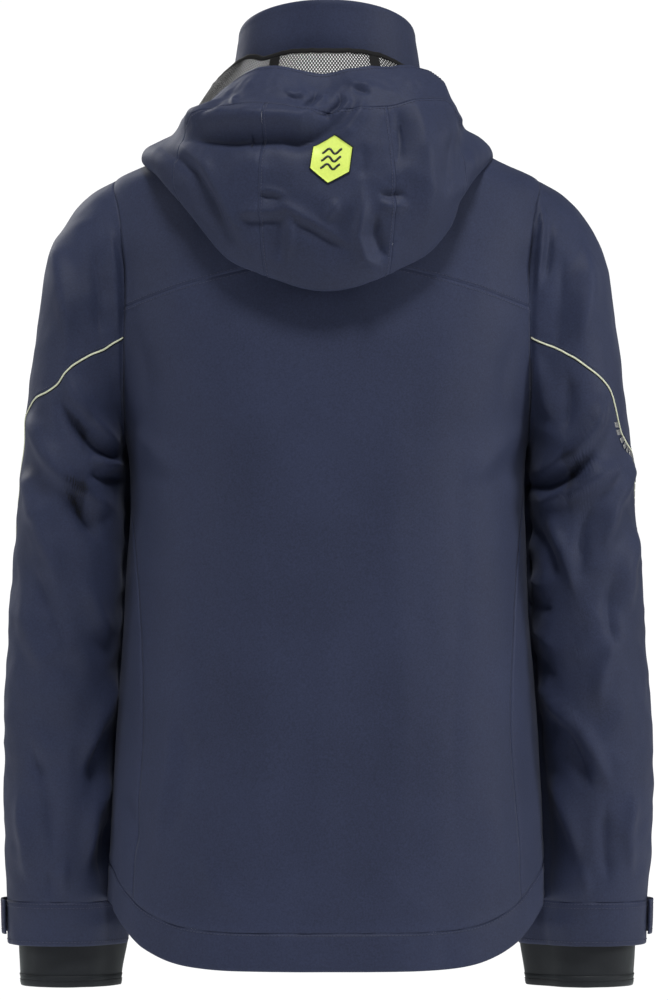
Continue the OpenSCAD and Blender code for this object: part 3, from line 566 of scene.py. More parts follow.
def cloth(name, p, mats, body="jacket", nodes=None, thick=1.3, wrap=False, values=None, level=0):
    """A sheet of cloth from a grid of points on its outer side."""
    uv = np.stack([arc(p, 1), arc(p, 0)], -1).reshape(-1, 2)
    me = mesh_of(name, p.reshape(-1, 3), grid_faces(*p.shape[:2], wrap), uv, values)
    obj = new_object(name, me, mats, body, nodes)
    modify(obj, "SOLIDIFY", thickness=thick * MM, offset=-1, use_even_offset=False, material_offset=len(mats) - 1)
    if level:
        modify(obj, "SUBSURF", levels=level, render_levels=level)
    declare(p, wrap)
    return obj


def tube(name, path, radius, mat, sides, body="jacket", nodes=None, flat=1.0, normals=None):
    """A round or flattened cord along a path."""
    return new_object(name, mesh_of(name, *tube_parts(path, radius, sides, False, flat, normals)),
                      [mat], body, nodes)


def tube_parts(path, radius, sides=8, closed=False, flat=1.0, normals=None):
    """Points and faces of a tube along a path, thinner along the normals when flat is below 1."""
    n = len(path)
    tan = unit(np.roll(path, -1, 0) - np.roll(path, 1, 0) if closed else np.gradient(path, axis=0))
    if normals is None:
        ref = np.array([0, 0, 1.0])
        normals = np.where(np.abs(tan @ ref)[:, None] > 0.9, np.array([1.0, 0, 0]), ref)
    up = unit(normals - np.sum(normals * tan, 1, keepdims=True) * tan)
    ang = np.arange(sides) * 2 * np.pi / sides
    c, s = np.cos(ang)[None, :, None] * flat, np.sin(ang)[None, :, None]
    verts = (path[:, None] + (up[:, None] * c + np.cross(tan, up)[:, None] * s) * radius).reshape(-1, 3)
    faces = []
    for i in range(n if closed else n - 1):
        a, b = i * sides, ((i + 1) % n) * sides
        for j in range(sides):
            k = (j + 1) % sides
            faces.append((a + j, a + k, b + k, b + j))
    if not closed:
        faces += [tuple(range(sides))[::-1], tuple(range((n - 1) * sides, n * sides))]
    return verts, faces


def resample(path, step):
    """The same line with its points an even step apart."""
    path = np.asarray(path, float)
    s = arc(path, 0)
    t = lin(0, s[-1], max(2, int(round(s[-1] / step)) + 1))
    return np.stack([np.interp(t, s, path[:, c]) for c in range(path.shape[1])], 1)


def inset_line(p, n, edge, d):
    """The line at distance d inside one edge of a grid: points and normals."""
    if edge in ("left", "right"):
        q, qn = p, n
    else:
        q, qn = p.transpose(1, 0, 2), n.transpose(1, 0, 2)
    if edge in ("right", "bottom"):
        q, qn = q[:, ::-1], qn[:, ::-1]
    run = arc(q, 1)

    def at_distance(g):
        return np.array([[np.interp(min(d, s[-1] * 0.999), s, row[:, c]) for c in range(3)]
                         for s, row in zip(run, g)])
    return at_distance(q), unit(at_distance(qn))


STITCHES = {}
# Rings of one stitch: place along it, height and radius; its ends dive into the cloth
STITCH_RINGS = [(-0.5, -0.9, 0.55), (-0.36, 0.35, 1), (0.0, 0.8, 1), (0.36, 0.35, 1), (0.5, -0.9, 0.55)]
STITCH_PITCH, STITCH_LENGTH, STITCH_R, STITCH_LIFT = 3.4, 2.3, 0.27, 0.12


def stitch(group, line, normals):
    """Adds a row of stitches along a line to a group, which becomes one piece."""
    both = resample(np.hstack([line, normals]), STITCH_PITCH)
    pts, nor = both[:, :3], unit(both[:, 3:])
    verts, faces = STITCHES.setdefault(group, ([], []))
    sides = len(STITCH_RINGS)
    ang = (np.arange(sides) * 2 * np.pi / sides)[:, None]
    for q, t, u in zip(pts, unit(np.gradient(pts, axis=0)), nor):
        base = len(verts) * sides * sides
        around = np.cos(ang) * u + np.sin(ang) * np.cross(t, u)
        verts.append(np.concatenate([
            q + t * (along * STITCH_LENGTH) + u * (STITCH_LIFT + height * STITCH_R) + around * STITCH_R * size
            for along, height, size in STITCH_RINGS]))
        faces += [tuple(base + v for v in face[::-1]) for face in grid_faces(sides, sides, True)]


def stitch_edge(group, p, n, edge, d, trim=0, closed=False):
    """A row of stitches at distance d inside an edge; trim leaves points out at both ends."""
    line, nor = inset_line(p, n, edge, d)
    if closed:
        line, nor = np.vstack([line, line[:1]]), np.vstack([nor, nor[:1]])
    stitch(group, line[trim:len(line) - trim], nor[trim:len(nor) - trim])


def finish_stitches(where):
    """Makes one piece of each group; where gives its body, slot and thread; the slot is not used."""
    for group, (verts, faces) in STITCHES.items():
        body, slot_name, mat = where(group)
        name = "stitching_" + group
        new_object(name, mesh_of(name, np.concatenate(verts), faces), [mat], body, ())


# ---------------------------------------------------------------- materials
def material(name, color, rough=0.6, **sockets):
    """A principled material, with its node tree and its shader."""
    m = bpy.data.materials.new(name)
    m.use_nodes = True
    b = m.node_tree.nodes["Principled BSDF"]
    b.inputs["Base Color"].default_value = (*color, 1)
    b.inputs["Roughness"].default_value = rough
    for k, v in sockets.items():
        b.inputs[k.replace("_", " ")].default_value = v
    return m, m.node_tree, b


def node(tree, kind, inputs=None, **props):
    """A shader node with its inputs linked or set."""
    n = tree.nodes.new("ShaderNode" + kind)
    for k, v in props.items():
        setattr(n, k, v)
    for k, v in (inputs or {}).items():
        s = n.inputs[k]
        if isinstance(v, bpy.types.NodeSocket):
            tree.links.new(v, s)
        else:
            s.default_value = v
    return n


def maths(tree, op, *values):
    return node(tree, "Math", dict(enumerate(values)), operation=op).outputs[0]


def shades(tree, value, color, spread, low, high):
    """From a darker to a paler shade of a colour as the value goes from low to high."""
    ramp = node(tree, "ValToRGB", {0: value})
    for stop, at, gain in zip(ramp.color_ramp.elements, (low, high), (1 - spread, 1 + spread)):
        stop.position, stop.color = at, (*[min(1, c * gain) for c in color], 1)
    return ramp.outputs[0]


def weave(tree, pitch, twill=0.0):
    """Height of a plain or twill weave in UV space, about 0 to 1."""
    uv = node(tree, "TexCoord").outputs["UV"]
    sep = node(tree, "SeparateXYZ", {0: uv})
    k = 2 * math.pi / (pitch * MM)
    a = maths(tree, "SINE", maths(tree, "MULTIPLY", sep.outputs[0], k))
    v = maths(tree, "ADD", maths(tree, "MULTIPLY", sep.outputs[1], k),
              maths(tree, "MULTIPLY", sep.outputs[0], k * twill))
    b = maths(tree, "SINE", v)
    return maths(tree, "MULTIPLY_ADD", maths(tree, "MULTIPLY", a, b), 0.5, 0.5)


def fabric(name, color, rough=0.62, pitch=0.7, sheen=0.06, spread=0.3, bump=0.10, twill=0.0, tint=None):
    """Woven cloth: weave relief, slubs, a slow change of shade and paler worn seams."""
    m, tree, b = material(name, color, rough)
    obj = node(tree, "TexCoord").outputs["Object"]
    slow = node(tree, "TexNoise", {"Vector": obj, "Scale": 9.0, "Detail": 3.0}).outputs["Fac"]
    fine = node(tree, "TexNoise", {"Vector": obj, "Scale": 620.0, "Detail": 2.0}).outputs["Fac"]
    wv = weave(tree, pitch, twill)
    shade = maths(tree, "ADD", maths(tree, "MULTIPLY", slow, 0.32),
                  maths(tree, "ADD", maths(tree, "MULTIPLY", fine, 0.5), maths(tree, "MULTIPLY", wv, 0.18)))
    seam = node(tree, "Attribute", attribute_name="seam").outputs["Fac"]
    worn = node(tree, "MixRGB", {"Fac": maths(tree, "MULTIPLY", seam, maths(tree, "MULTIPLY", fine, 0.22)),
                                 "Color1": shades(tree, shade, color, spread, 0.3, 0.7),
                                 "Color2": (*[min(1, c * 1.7) for c in color], 1)})
    tree.links.new(worn.outputs[0], b.inputs["Base Color"])
    tree.links.new(maths(tree, "MULTIPLY_ADD", slow, 0.16, rough - 0.08), b.inputs["Roughness"])
    b.inputs["Sheen Weight"].default_value = sheen
    b.inputs["Sheen Roughness"].default_value = 0.45
    b.inputs["Sheen Tint"].default_value = (*(tint or (0.75, 0.8, 1.0)), 1)
    b.inputs["Specular IOR Level"].default_value = 0.25
    height = maths(tree, "ADD", maths(tree, "MULTIPLY", wv, 0.6), maths(tree, "MULTIPLY", fine, 0.4))
    bp = node(tree, "Bump", {"Height": height, "Strength": bump, "Distance": 0.0004})
    soft = node(tree, "TexNoise", {"Vector": obj, "Scale": 70.0, "Detail": 3.0, "Roughness": 0.6}).outputs["Fac"]
    bp2 = node(tree, "Bump", {"Height": soft, "Strength": 0.16, "Distance": 0.0012, "Normal": bp.outputs[0]})
    tree.links.new(bp2.outputs[0], b.inputs["Normal"])
    return m


def plastic(name, color, rough=0.4, grain=0.1, scale=900, metallic=0.0, spread=0.08):
    """Moulded, printed or cast material with a fine grain in its colour, gloss and relief."""
    m, tree, b = material(name, color, rough, Metallic=metallic)
    obj = node(tree, "TexCoord").outputs["Object"]
    fine = node(tree, "TexNoise", {"Vector": obj, "Scale": float(scale), "Detail": 3.0}).outputs["Fac"]
    tree.links.new(shades(tree, fine, color, spread, 0.35, 0.65), b.inputs["Base Color"])
    tree.links.new(maths(tree, "MULTIPLY_ADD", fine, 0.2, rough - 0.1), b.inputs["Roughness"])
    bp = node(tree, "Bump", {"Height": fine, "Strength": grain, "Distance": 0.0002})
    tree.links.new(bp.outputs[0], b.inputs["Normal"])
    return m


NAVY = (0.0268, 0.0345, 0.0735)
SHELL = fabric("shell_cloth", NAVY)
SHELL_IN = fabric("shell_inside", (0.030, 0.032, 0.038), rough=0.75, pitch=1.2, sheen=0.1)
LINING = fabric("lining_tricot", (0.012, 0.012, 0.014), rough=0.8, pitch=1.4, bump=0.2, twill=0.5)
TAPE = fabric("black_tape", (0.0055, 0.0055, 0.006), rough=0.7, pitch=1.3, bump=0.25, twill=1.0, tint=(1, 1, 1))
NET = fabric("black_net", (0.006, 0.006, 0.007), rough=0.6, pitch=0.6, tint=(1, 1, 1))
MEMBRANE = fabric("pale_membrane", (0.80, 0.81, 0.82), rough=0.5, pitch=1.0, sheen=0.1, spread=0.03, tint=(1, 1, 1))
# The pale membrane glows: painted light that keeps it bright where it lies in shade inside the hood
PAINTED_GLOW = {"Emission Color": (1, 1, 1, 1), "Emission Strength": 0.6}
for key, value in PAINTED_GLOW.items():
    MEMBRANE.node_tree.nodes["Principled BSDF"].inputs[key].default_value = value
KNIT = fabric("neoprene_cuff", (0.0135, 0.016, 0.020), rough=0.66, pitch=0.9, sheen=0.25, spread=0.15, tint=(0.9, 1, 0.98))
THREAD = fabric("navy_thread", (0.055, 0.062, 0.105), rough=0.5, pitch=0.3, tint=(1, 1, 1))
THREAD_BLACK = fabric("black_thread", (0.012, 0.012, 0.014), rough=0.5, pitch=0.3, tint=(1, 1, 1))
PIPE = fabric("lime_piping", (0.82, 0.90, 0.62), rough=0.55, pitch=0.8, sheen=0.1, tint=(1, 1, 1))
LIME = plastic("lime_print", (0.80, 0.98, 0.17), 0.5, 0.06, 500, spread=0.03)
PULL = plastic("lime_rubber", (0.56, 0.76, 0.10), 0.5, 0.2, 700)
PRINT = plastic("dark_print", (0.006, 0.010, 0.012), 0.45, 0.1)
REFLECT = plastic("glass_bead_tape", (0.30, 0.305, 0.31), 0.35, 0.5, 2600, metallic=0.55, spread=0.25)
TEETH = plastic("black_acetal", (0.008, 0.008, 0.009), 0.38, 0.1)
METAL = plastic("black_zinc", (0.03, 0.03, 0.032), 0.32, 0.15, 1200, metallic=0.9)
CLOTH = [SHELL, SHELL_IN]


# ---------------------------------------------------------------- body panels
def settle(angle, height, s, r):
    """Angle and height of panel points, where the side lines depend on the height and the reverse."""
    z = np.full(s.shape, -300.0)
    for _ in range(7):
        z = height(angle(s, z), r)
    return angle(s, z), z


def body_panel(name, s, r, angle, height, seams, stitched=(), extra=None):
    """A panel between two lines; seams are its sewn edges and stitched those with a row of stitches."""
    u, z = settle(angle, height, *np.meshgrid(s, r))
    p = body_at(u, z)
    n = grid_normals(p)
    far = from_armhole(p)
    lip = 0.9 * np.exp(-(far / 4) ** 2) * smooth(-100, -126, z)
    p = shoulder_fill(p + n * (body_move(p, n) + lip)[..., None], far)
    n = grid_normals(p)
    if extra:
        p = extra(p, n)
    p, seam = seam_relief(p, n, seams)
    n = grid_normals(p)
    for edge, inset in stitched:
        stitch_edge("body", p, n, edge, inset)
    cloth(name, p, CLOTH, values=seam)


def back_angle(s, z):
    o = opening(z, True)
    return mix(90 + o, 270 - o, s)


def above_hem(u):
    return hem_z(u) + HEM_BAND


NEAR_EDGE = np.array([0, 0.5, 1.0, 1.6, 2.4, 3.4, 4.8, 6.6])


def edged(n, length, low=True):
    """n even steps from 0 to 1, with finer ones beside the ends of a run of that length in mm."""
    parts = [lin(0, 1, n), 1 - NEAR_EDGE / length] + [NEAR_EDGE / length] * low
    return np.unique(np.concatenate(parts).round(6))


body_panel("back_panel", lin(0, 1, 90), edged(118, 610), back_angle,
           lambda u, r: mix(yoke_z(u), above_hem(u), r), ("top", "bottom"), [("top", 3.0)])
body_panel("back_yoke", lin(0, 1, 90), np.unique(np.concatenate([edged(40, 170), lin(0.3, 0.4, 12)])), back_angle,
           lambda u, r: mix(neck_z(u), yoke_z(u), r), ("top", "bottom"), [("bottom", 3.0)])
for SIDE, TAG in SIDES:
    body_panel("side_panel_" + TAG, lin(0, 1, 34), lin(0, 1, 84),
               lambda s, z: (90 if SIDE > 0 else 270) + (2 * s - 1) * opening(z, True),
               lambda u, r: mix(ARMPIT_Z - 5, above_hem(u), r), ("left", "right", "bottom"))

ZIP_HALF = 9


def front_angle(s, z, side):
    e, o = angle_at_x(ZIP_HALF, z), 90 - opening(z, False)
    return mix(e, o, s) if side > 0 else mix(360 - o, 360 - e, s)


# Pockets: x and z of the zip's top and lower end
HAND = ((104, -470), (128, -635))
CHEST = ((88, -205), (88, -335))
POCKET_DEPTH = 3.2


def on_front(x, z):
    n = rows_at(BODY, z, 3)
    return np.stack([x + 0 * z, -front_y(z) * (1 - (x / half_w(z)) ** n) ** (1 / n), z + 0 * x], -1)


class ZipFrame:
    """The frame of a zip: its own -Z runs down the zip and +Y inwards."""
    def __init__(self, origin, x, y, z, mirror=1):
        self.o, self.m = np.array(origin, float), np.array([x, y, z], float)
        self.mirror = mirror

    def __call__(self, pts):
        return (self.o + np.asarray(pts, float) @ self.m) * [self.mirror, 1, 1]

    def turn(self, v):
        return (np.asarray(v, float) @ self.m) * [self.mirror, 1, 1]

    def moved(self, dz):
        return ZipFrame(self.o + self.m[2] * dz, *self.m, self.mirror)


def pocket_frame(ends, side):
    """The frame of a pocket's zip and the zip's length."""
    a, b = (on_front(float(x), float(z)) for x, z in ends)
    xm, zm = np.mean(ends, axis=0)
    down = unit(a - b)
    inward = unit(np.cross(down, on_front(xm + 6, zm) - on_front(xm - 6, zm)))
    fr = ZipFrame(a + inward * POCKET_DEPTH, np.cross(inward, down), inward, down, side)
    return fr, float(np.linalg.norm(a - b))


LEAN = np.array([0, math.sin(ZIP_LEAN), math.cos(ZIP_LEAN)])
INWARD = np.array([0, math.cos(ZIP_LEAN), -math.sin(ZIP_LEAN)])
MAIN_FRAME = ZipFrame(np.array([0, -FRONT_TOP_Y, COLLAR_FRONT_Z]) + INWARD * 3.3, (1, 0, 0), INWARD, LEAN)
MAIN_LEN = (COLLAR_FRONT_Z - HEM_FRONT_Z - 8) / math.cos(ZIP_LEAN)


def pocket_dip(side):
    """Sinks the cloth into a lipped slot at each pocket's zip."""
    frames = [pocket_frame(ends, side) for ends in ((HAND, CHEST) if side > 0 else (HAND,))]

    def move(p, n):
        out = p.copy()
        for fr, length in frames:
            x, y, z = np.moveaxis((p * [side, 1, 1] - fr.o) @ fr.m.T, -1, 0)
            outside = np.maximum(np.maximum(z - 2, -length - 2 - z), 0)
            d = np.hypot(np.maximum(np.abs(x) - 3.2, 0), outside)
            calm = np.exp(-(np.hypot(np.maximum(np.abs(x) - 12, 0), outside) / 18) ** 2)
            lips = 1.0 * np.exp(-((d - 5) / 2.2) ** 2) - 3.4 * np.exp(-(d / 1.7) ** 4)
            out += n * (calm * (y + POCKET_DEPTH) + lips)[..., None]
        return out
    return move


def dense(lo, hi, n, spots, width, extra):
    """n even steps from lo to hi with more of them near each spot."""
    every = np.concatenate([lin(lo, hi, n)] + [lin(c - width, c + width, extra) for c in spots])
    every = np.unique(np.round(every, 5))
    every = every[(every >= lo) & (every <= hi)]
    keep = [every[0]]
    for v in every[1:]:
        if v - keep[-1] > 0.0012:
            keep.append(v)
    keep[-1] = hi
    return np.array(keep)


FRONT_ROWS = np.unique(np.concatenate([lin(0, 0.08, 13), lin(0.08, 0.12, 13), lin(0.12, 1, 130)]))
for SIDE, TAG in SIDES:
    pockets = [0.5 + SIDE * d for d in (0, 0.08, 0.16)]
    body_panel("front_panel_" + TAG, dense(0, 1, 60, pockets, 0.11, 60), FRONT_ROWS,
               lambda s, z: front_angle(s, z, SIDE), lambda u, r: mix(neck_z(u), above_hem(u), r),
               ("top", "left", "right", "bottom"), [("left" if SIDE > 0 else "right", 4.0), ("top", 3.0)],
               pocket_dip(SIDE))


def roll_in(p, n, radius, tail, turns=6):
    """Rows that carry a grid's last row round a fold and back up inside."""
    down = unit(p[-1] - p[-2])
    rows = [p[-1] + down * radius * math.sin(a) - n[-1] * radius * (1 - math.cos(a))
            for a in lin(0, math.pi, turns + 1)[1:]]
    return np.concatenate([p, rows, [rows[-1] - down * tail * 0.5, rows[-1] - down * tail]], 0)


# The hem: a turned band with its row of stitches
s, r = np.meshgrid(lin(0, 1, 300), lin(0, 1, 9))
edge_angle = float(angle_at_x(ZIP_HALF, HEM_FRONT_Z))
u = mix(edge_angle, 360 - edge_angle, s)
p = body_at(u, mix(above_hem(u), hem_z(u), r))
n = grid_normals(p)
p = p + n * (body_move(p, n) + 0.35 + 0.6 * noise_at(p * [1, 1, 0.4], 15, 12.0)
             - 0.9 * np.exp(-((p[..., 2] - above_hem(u)) / 2.0) ** 2))[..., None]
n = grid_normals(p)
stitch_edge("body", p, n, "top", 2.2)
cloth("hem_band", roll_in(p, n, 1.6, 30), CLOTH, thick=0.9)


# ---------------------------------------------------------------- collar
def collar_grid(edge, rows, cols):
    """The collar's tube, from the edge's x at one side of the zip round to the other."""
    low, high = float(angle_at_x(edge, NECK_FRONT_Z)), math.degrees(math.asin(edge / COLLAR_HALF))
    s, r = np.meshgrid(lin(0, 1, cols), rows)
    u, v = mix(low, 360 - low, s), mix(high, 360 - high, s)
    z = (COLLAR_BACK_Z + COLLAR_FRONT_Z) / 2 - (COLLAR_BACK_Z - COLLAR_FRONT_Z) / 2 * cos_d(v)
    y = np.where(cos_d(v) < 0, -80, -front_y(z)) * cos_d(v)
    p = mix(body_at(u, neck_z(u)), np.stack([COLLAR_HALF * sin_d(v), y, z], -1), r[..., None])
    calm = smooth(8, 40, np.abs(p[..., 0]) + 60 * (p[..., 1] > 0))
    waves = 1.1 * noise_at(p, 34, 14.0) + 0.4 * noise_at(p, 13, 15.0)
    bulge = 1.5 * np.sin(np.pi * r) + waves * np.sin(np.pi * np.clip(r * 0.9 + 0.05, 0, 1))
    return p + unit(p * [1, 1, 0]) * (bulge * calm)[..., None]


# Rows run down, so that normals face outwards
p = collar_grid(8.5, lin(1, 0, 34), 190)
n = grid_normals(p)
p = p + n * (0.5 * np.exp(-((edge_gap(p, ("top",)) - 3) / 2.5) ** 2)
             - np.exp(-(edge_gap(p, ("bottom",)) / 2) ** 2))[..., None]
n = grid_normals(p)
stitch_edge("collar", p, n, "bottom", 4.0)
cloth("collar_shell", roll_in(p[::-1], n[::-1], 1.5, 5)[::-1], [SHELL], thick=0.9)
p = collar_grid(13, lin(0.985, 0.02, 22), 120)
cloth("collar_lining", p - grid_normals(p) * 3.4, [LINING], thick=0.8)

# ---------------------------------------------------------------- sleeves
ROUND_K = np.arange(-180, 180, 3.0)
K_FINE = np.arange(-102, 102.1, 0.25)
UNDERARM_K = np.arange(102.5, 258, 0.5)
RING_STEP = 24  # mm of sleeve between the armhole and ring 1


def place(p, side):
    return p if side > 0 else (p * [-1, 1, 1])[:, ::-1]


def drift(p, side):
    """The right sleeve hangs a little further out between elbow and cuff; both rest against the body."""
    out, z = p.copy(), p[..., 2]
    if side < 0:
        out[..., 0] -= 4 * smooth(-480, -640, z) - 4 * smooth(-690, -745, z)
    inner = smooth(26, -14, np.abs(p[..., 0]) - mix(238, 252, smooth(-400, -700, z)))
    rest = smooth(-282, -318, z) * inner * smooth(4, -30, p[..., 1])
    out[..., 0] -= side * rest * (11 + 3 * np.sin(z / 21.0) + (side < 0) * 7 * smooth(-600, -660, z))
    out[..., 0] -= side * 6 * smooth(-748, -770, z) * inner
    return out


def sleeve_base(w, k, side):
    return drift(sleeve_at(w, k) * [side, 1, 1], side)


def sleeve_cloth(w, k, side):
    """The sleeve with its folds, a little sunk beside the armhole's seam."""
    p = sleeve_base(w, k, side)
    n = unit(side * np.cross(sleeve_base(w + 0.02, k, side) - p,
                             sleeve_base(w, k + 0.4, side) - sleeve_base(w, k - 0.4, side)))
    p = p + n * sleeve_move(p, n, w, k, side)[..., None]
    sunk = 2.4 * np.exp(-((w * RING_STEP - 3) / 4.5) ** 2) * smooth(-100, -126, p[..., 2])
    return shoulder_fill(p - n * sunk[..., None], w * RING_STEP)


def sleeve_part(w, k, side):
    """Points of the sleeve's cloth and their normals; on the right sleeve the columns are turned round."""
    p = sleeve_cloth(w, k, side)
    n = unit(side * np.cross(sleeve_cloth(w + 0.015, k, side) - p, sleeve_cloth(w, k + 0.3, side) - p))
    return (p, n) if side > 0 else (p[:, ::-1], n[:, ::-1])


def spaced(w, k, side, count):
    """The same line on the sleeve, as w and k, in even steps."""
    run = arc(sleeve_base(w, k, side), 0)
    at = lin(0, run[-1], count)
    return np.interp(at, run, w), np.interp(at, run, k)


def upper_panel(side, tag):
    """From the armhole to the piping; gives the line of the piping and its normals."""
    w_low, k_low = spaced(piping_w(K_FINE, side), K_FINE, side, 170)
    k_top = spaced(0 * K_FINE, K_FINE, side, 170)[1]
    r = edged(66, 200, low=False)[:, None]
    p, n = sleeve_part(r * w_low, mix(k_top, k_low, r), side)
    p, seam = seam_relief(p, n, ("bottom",), 0.5, 0.3)
    cloth("sleeve_upper_" + tag, p, CLOTH, values=seam)
    stitch_edge("sleeve_" + tag, p, n, "bottom", 4.5)
    return p[-1], n[-1]


def lower_panel(side, tag):
    """A closed tube from the piping and the underarm to the cuff band."""
    w_top, k_top = spaced(np.concatenate([piping_w(K_FINE, side), 0 * UNDERARM_K]),
                          np.concatenate([K_FINE, UNDERARM_K]), side, 201)
    w_top, k_top = w_top[:-1], k_top[:-1]
    k_even = 360 * np.arange(200) / 200
    k_even += np.mean(k_top - k_even)
    r = edged(136, 520)[:, None]
    p, n = sleeve_part(mix(w_top, BAND_RING, r), mix(k_top, k_even, smooth(0, 0.5, r)), side)
    g = arc(p, 0)
    sewn = (w_top > 0.2)[::side]
    relief = -0.5 * sewn * np.exp(-(g / 1.1) ** 2) - 0.3 * np.exp(-((g[-1:] - g) / 1.1) ** 2)
    cloth("sleeve_lower_" + tag, p + n * relief[..., None], CLOTH, wrap=True, values=np.exp(-(g / 7) ** 2))


def cuff_band(side, tag):
    """The sleeve's band with its turned end."""
    r, k = np.meshgrid(lin(0, 1, 14), ROUND_K, indexing="ij")
    p, n = sleeve_part(mix(BAND_RING, LAST_RING, r), k, side)
    pucker = 0.7 * noise_at(p * [1, 1, 0.35], 12, 20.0 + side)
    p = p + n * (0.4 + pucker - 0.9 * np.exp(-(arc(p, 0) / 1.8) ** 2))[..., None]
    n = grid_normals(p, True)
    for edge, inset in (("top", 2.2), ("top", 6.0), ("bottom", 3.0)):
        stitch_edge("sleeve_" + tag, p, n, edge, inset, closed=True)
    cloth("cuff_band_" + tag, roll_in(p, n, 1.5, 24), CLOTH, thick=0.9, wrap=True)


def inner_cuff(side, tag):
    z, k = np.meshgrid(lin(SLEEVE_END_Z + 22, CUFF_END_Z, 22), ROUND_K, indexing="ij")
    t = (SLEEVE_END_Z - z) / (SLEEVE_END_Z - CUFF_END_Z)
    radius = np.where(t < 0, mix(43, 45, smooth(0, -0.5, t)), mix(43, 41, np.clip(t, 0, 1)))
    radius += 0.6 * np.exp(-((t - 0.93) / 0.05) ** 2)
    mid = mix(251, 254.5, smooth(0, -0.4, t))
    p = drift(place(np.stack([mid + radius * cos_d(k), -28 + 1.08 * radius * sin_d(k), z], -1), side), side)
    p = p + grid_normals(p, True) * 0.9 * noise_at(p * [1, 1, 0.5], 17, 30 + side)[..., None]
    n = grid_normals(p, True)
    stitch_edge("cuff_" + tag, p, n, "bottom", 5.0, closed=True)
    cloth("inner_cuff_" + tag, roll_in(p, n, 1.1, 10), [KNIT], thick=1.2, wrap=True)


def piping(tag, seam_line, seam_n):
    """The bead along the seam in its dark flange."""
    path = resample(np.hstack([seam_line + seam_n * 0.75, seam_n]), 3.0)
    bead, up = path[:, :3], path[:, 3:]
    tube("sleeve_piping_" + tag, bead, 0.85, PIPE, 9, normals=up)
    tube("piping_flange_" + tag, bead - up * 0.75 - [0, 0, 0.3], 1.9, TAPE, 6, nodes=(),
         flat=0.5, normals=up)


def reflective_tape(side, tag):
    """Slanted reflective blocks below the piping, each a grid of 4 by 4 points."""
    k = np.arange(-66, 40 if side < 0 else -14, 0.5)[None]
    both = resample(np.hstack([g[0] for g in sleeve_part(piping_w(k[0], side)[None], k, side)]), 7.2)
    run, up = both[:, :3], unit(both[:, 3:])
    along = unit(np.gradient(run, axis=0))
    below = np.cross(along, up)
    off, step = (g[..., None] for g in np.meshgrid(2.0 + 6.2 * lin(0, 1, 4), 1.8 * (np.arange(4) - 1.5), indexing="ij"))
    slant = (0.7 * (np.arange(4) - 1.5))[:, None, None]
    verts = np.array([q + d * off + t * (step + slant) * side + u * (0.7 - off * off / 150)
                      for q, u, t, d in zip(run, up, along, below)]).reshape(-1, 3)
    faces = [tuple(16 * i + v for v in f) for i in range(len(run)) for f in grid_faces(4, 4)]
    name = "reflective_tape_" + tag
    modify(new_object(name, mesh_of(name, verts, faces), [REFLECT]),
           "SOLIDIFY", thickness=0.5 * MM, offset=-1)


for SIDE, TAG in SIDES:
    seam = upper_panel(SIDE, TAG)
    lower_panel(SIDE, TAG)
    cuff_band(SIDE, TAG)
    inner_cuff(SIDE, TAG)
    piping(TAG, *seam)
    reflective_tape(SIDE, TAG)

# ---------------------------------------------------------------- cuff tabs
TAB_Z, TAB_H, TAB_SEWN, TAB_TIP = SLEEVE_END_Z + 25, 34, 14, -72


def tab_at(k, z, lift):
    n = unit(np.stack([54 * cos_d(k), 48 * sin_d(k), 0 * k], -1))
    return sleeve_at(LAST_RING - (z - SLEEVE_END_Z) / 106, k) + n * lift[..., None]


for SIDE, TAG in SIDES:
    s, r = np.meshgrid(lin(0, 1, 60), lin(0, 1, 19))
    height = TAB_H * (1 - 0.36 * np.clip(1 - s / 0.12, 0, 1) ** 2.2)
    lift = 3.9 + 4.5 * np.sin(np.pi * s) - 0.5 * (2 * r - 1) ** 4
    p = drift(place(tab_at(mix(TAB_TIP, TAB_SEWN, s), TAB_Z + height * (0.5 - r), lift), SIDE), SIDE)
    g = edge_gap(p, ("top", "bottom", "left", "right"))
    p = p + grid_normals(p) * (0.35 * np.exp(-((g - 1.5) / 1.5) ** 2) - 0.3 * np.exp(-((g - 4) / 0.9) ** 2)
                               + 0.3 * noise_at(p, 12, 40 + SIDE))[..., None]
    n = grid_normals(p)
    tip, sewn = ("left", "right")[::SIDE]
    for edge, inset in (("top", 4.0), ("bottom", 4.0), (tip, 4.5), (sewn, 3.0), (sewn, 10.0)):
        stitch_edge("tab_" + TAG, p, n, edge, inset, trim=3)
    cloth("cuff_tab_" + TAG, p, [SHELL], "cuff_tab_" + TAG, thick=1.7)
    s, r = np.meshgrid(lin(0, 1, 24), lin(0, 1, 16))
    k = mix(-66, -30, s)
    p = drift(place(tab_at(k, TAB_Z + 24 * (0.5 - r), 1.6 + 0 * k), SIDE), SIDE)
    p = p + grid_normals(p) * 0.35 * noise_at(p, 1.6, 2.2)[..., None]
    cloth("cuff_hook_patch_" + TAG, p, [TAPE], thick=0.8)


# ---------------------------------------------------------------- hood
BRIM_T = 0.845


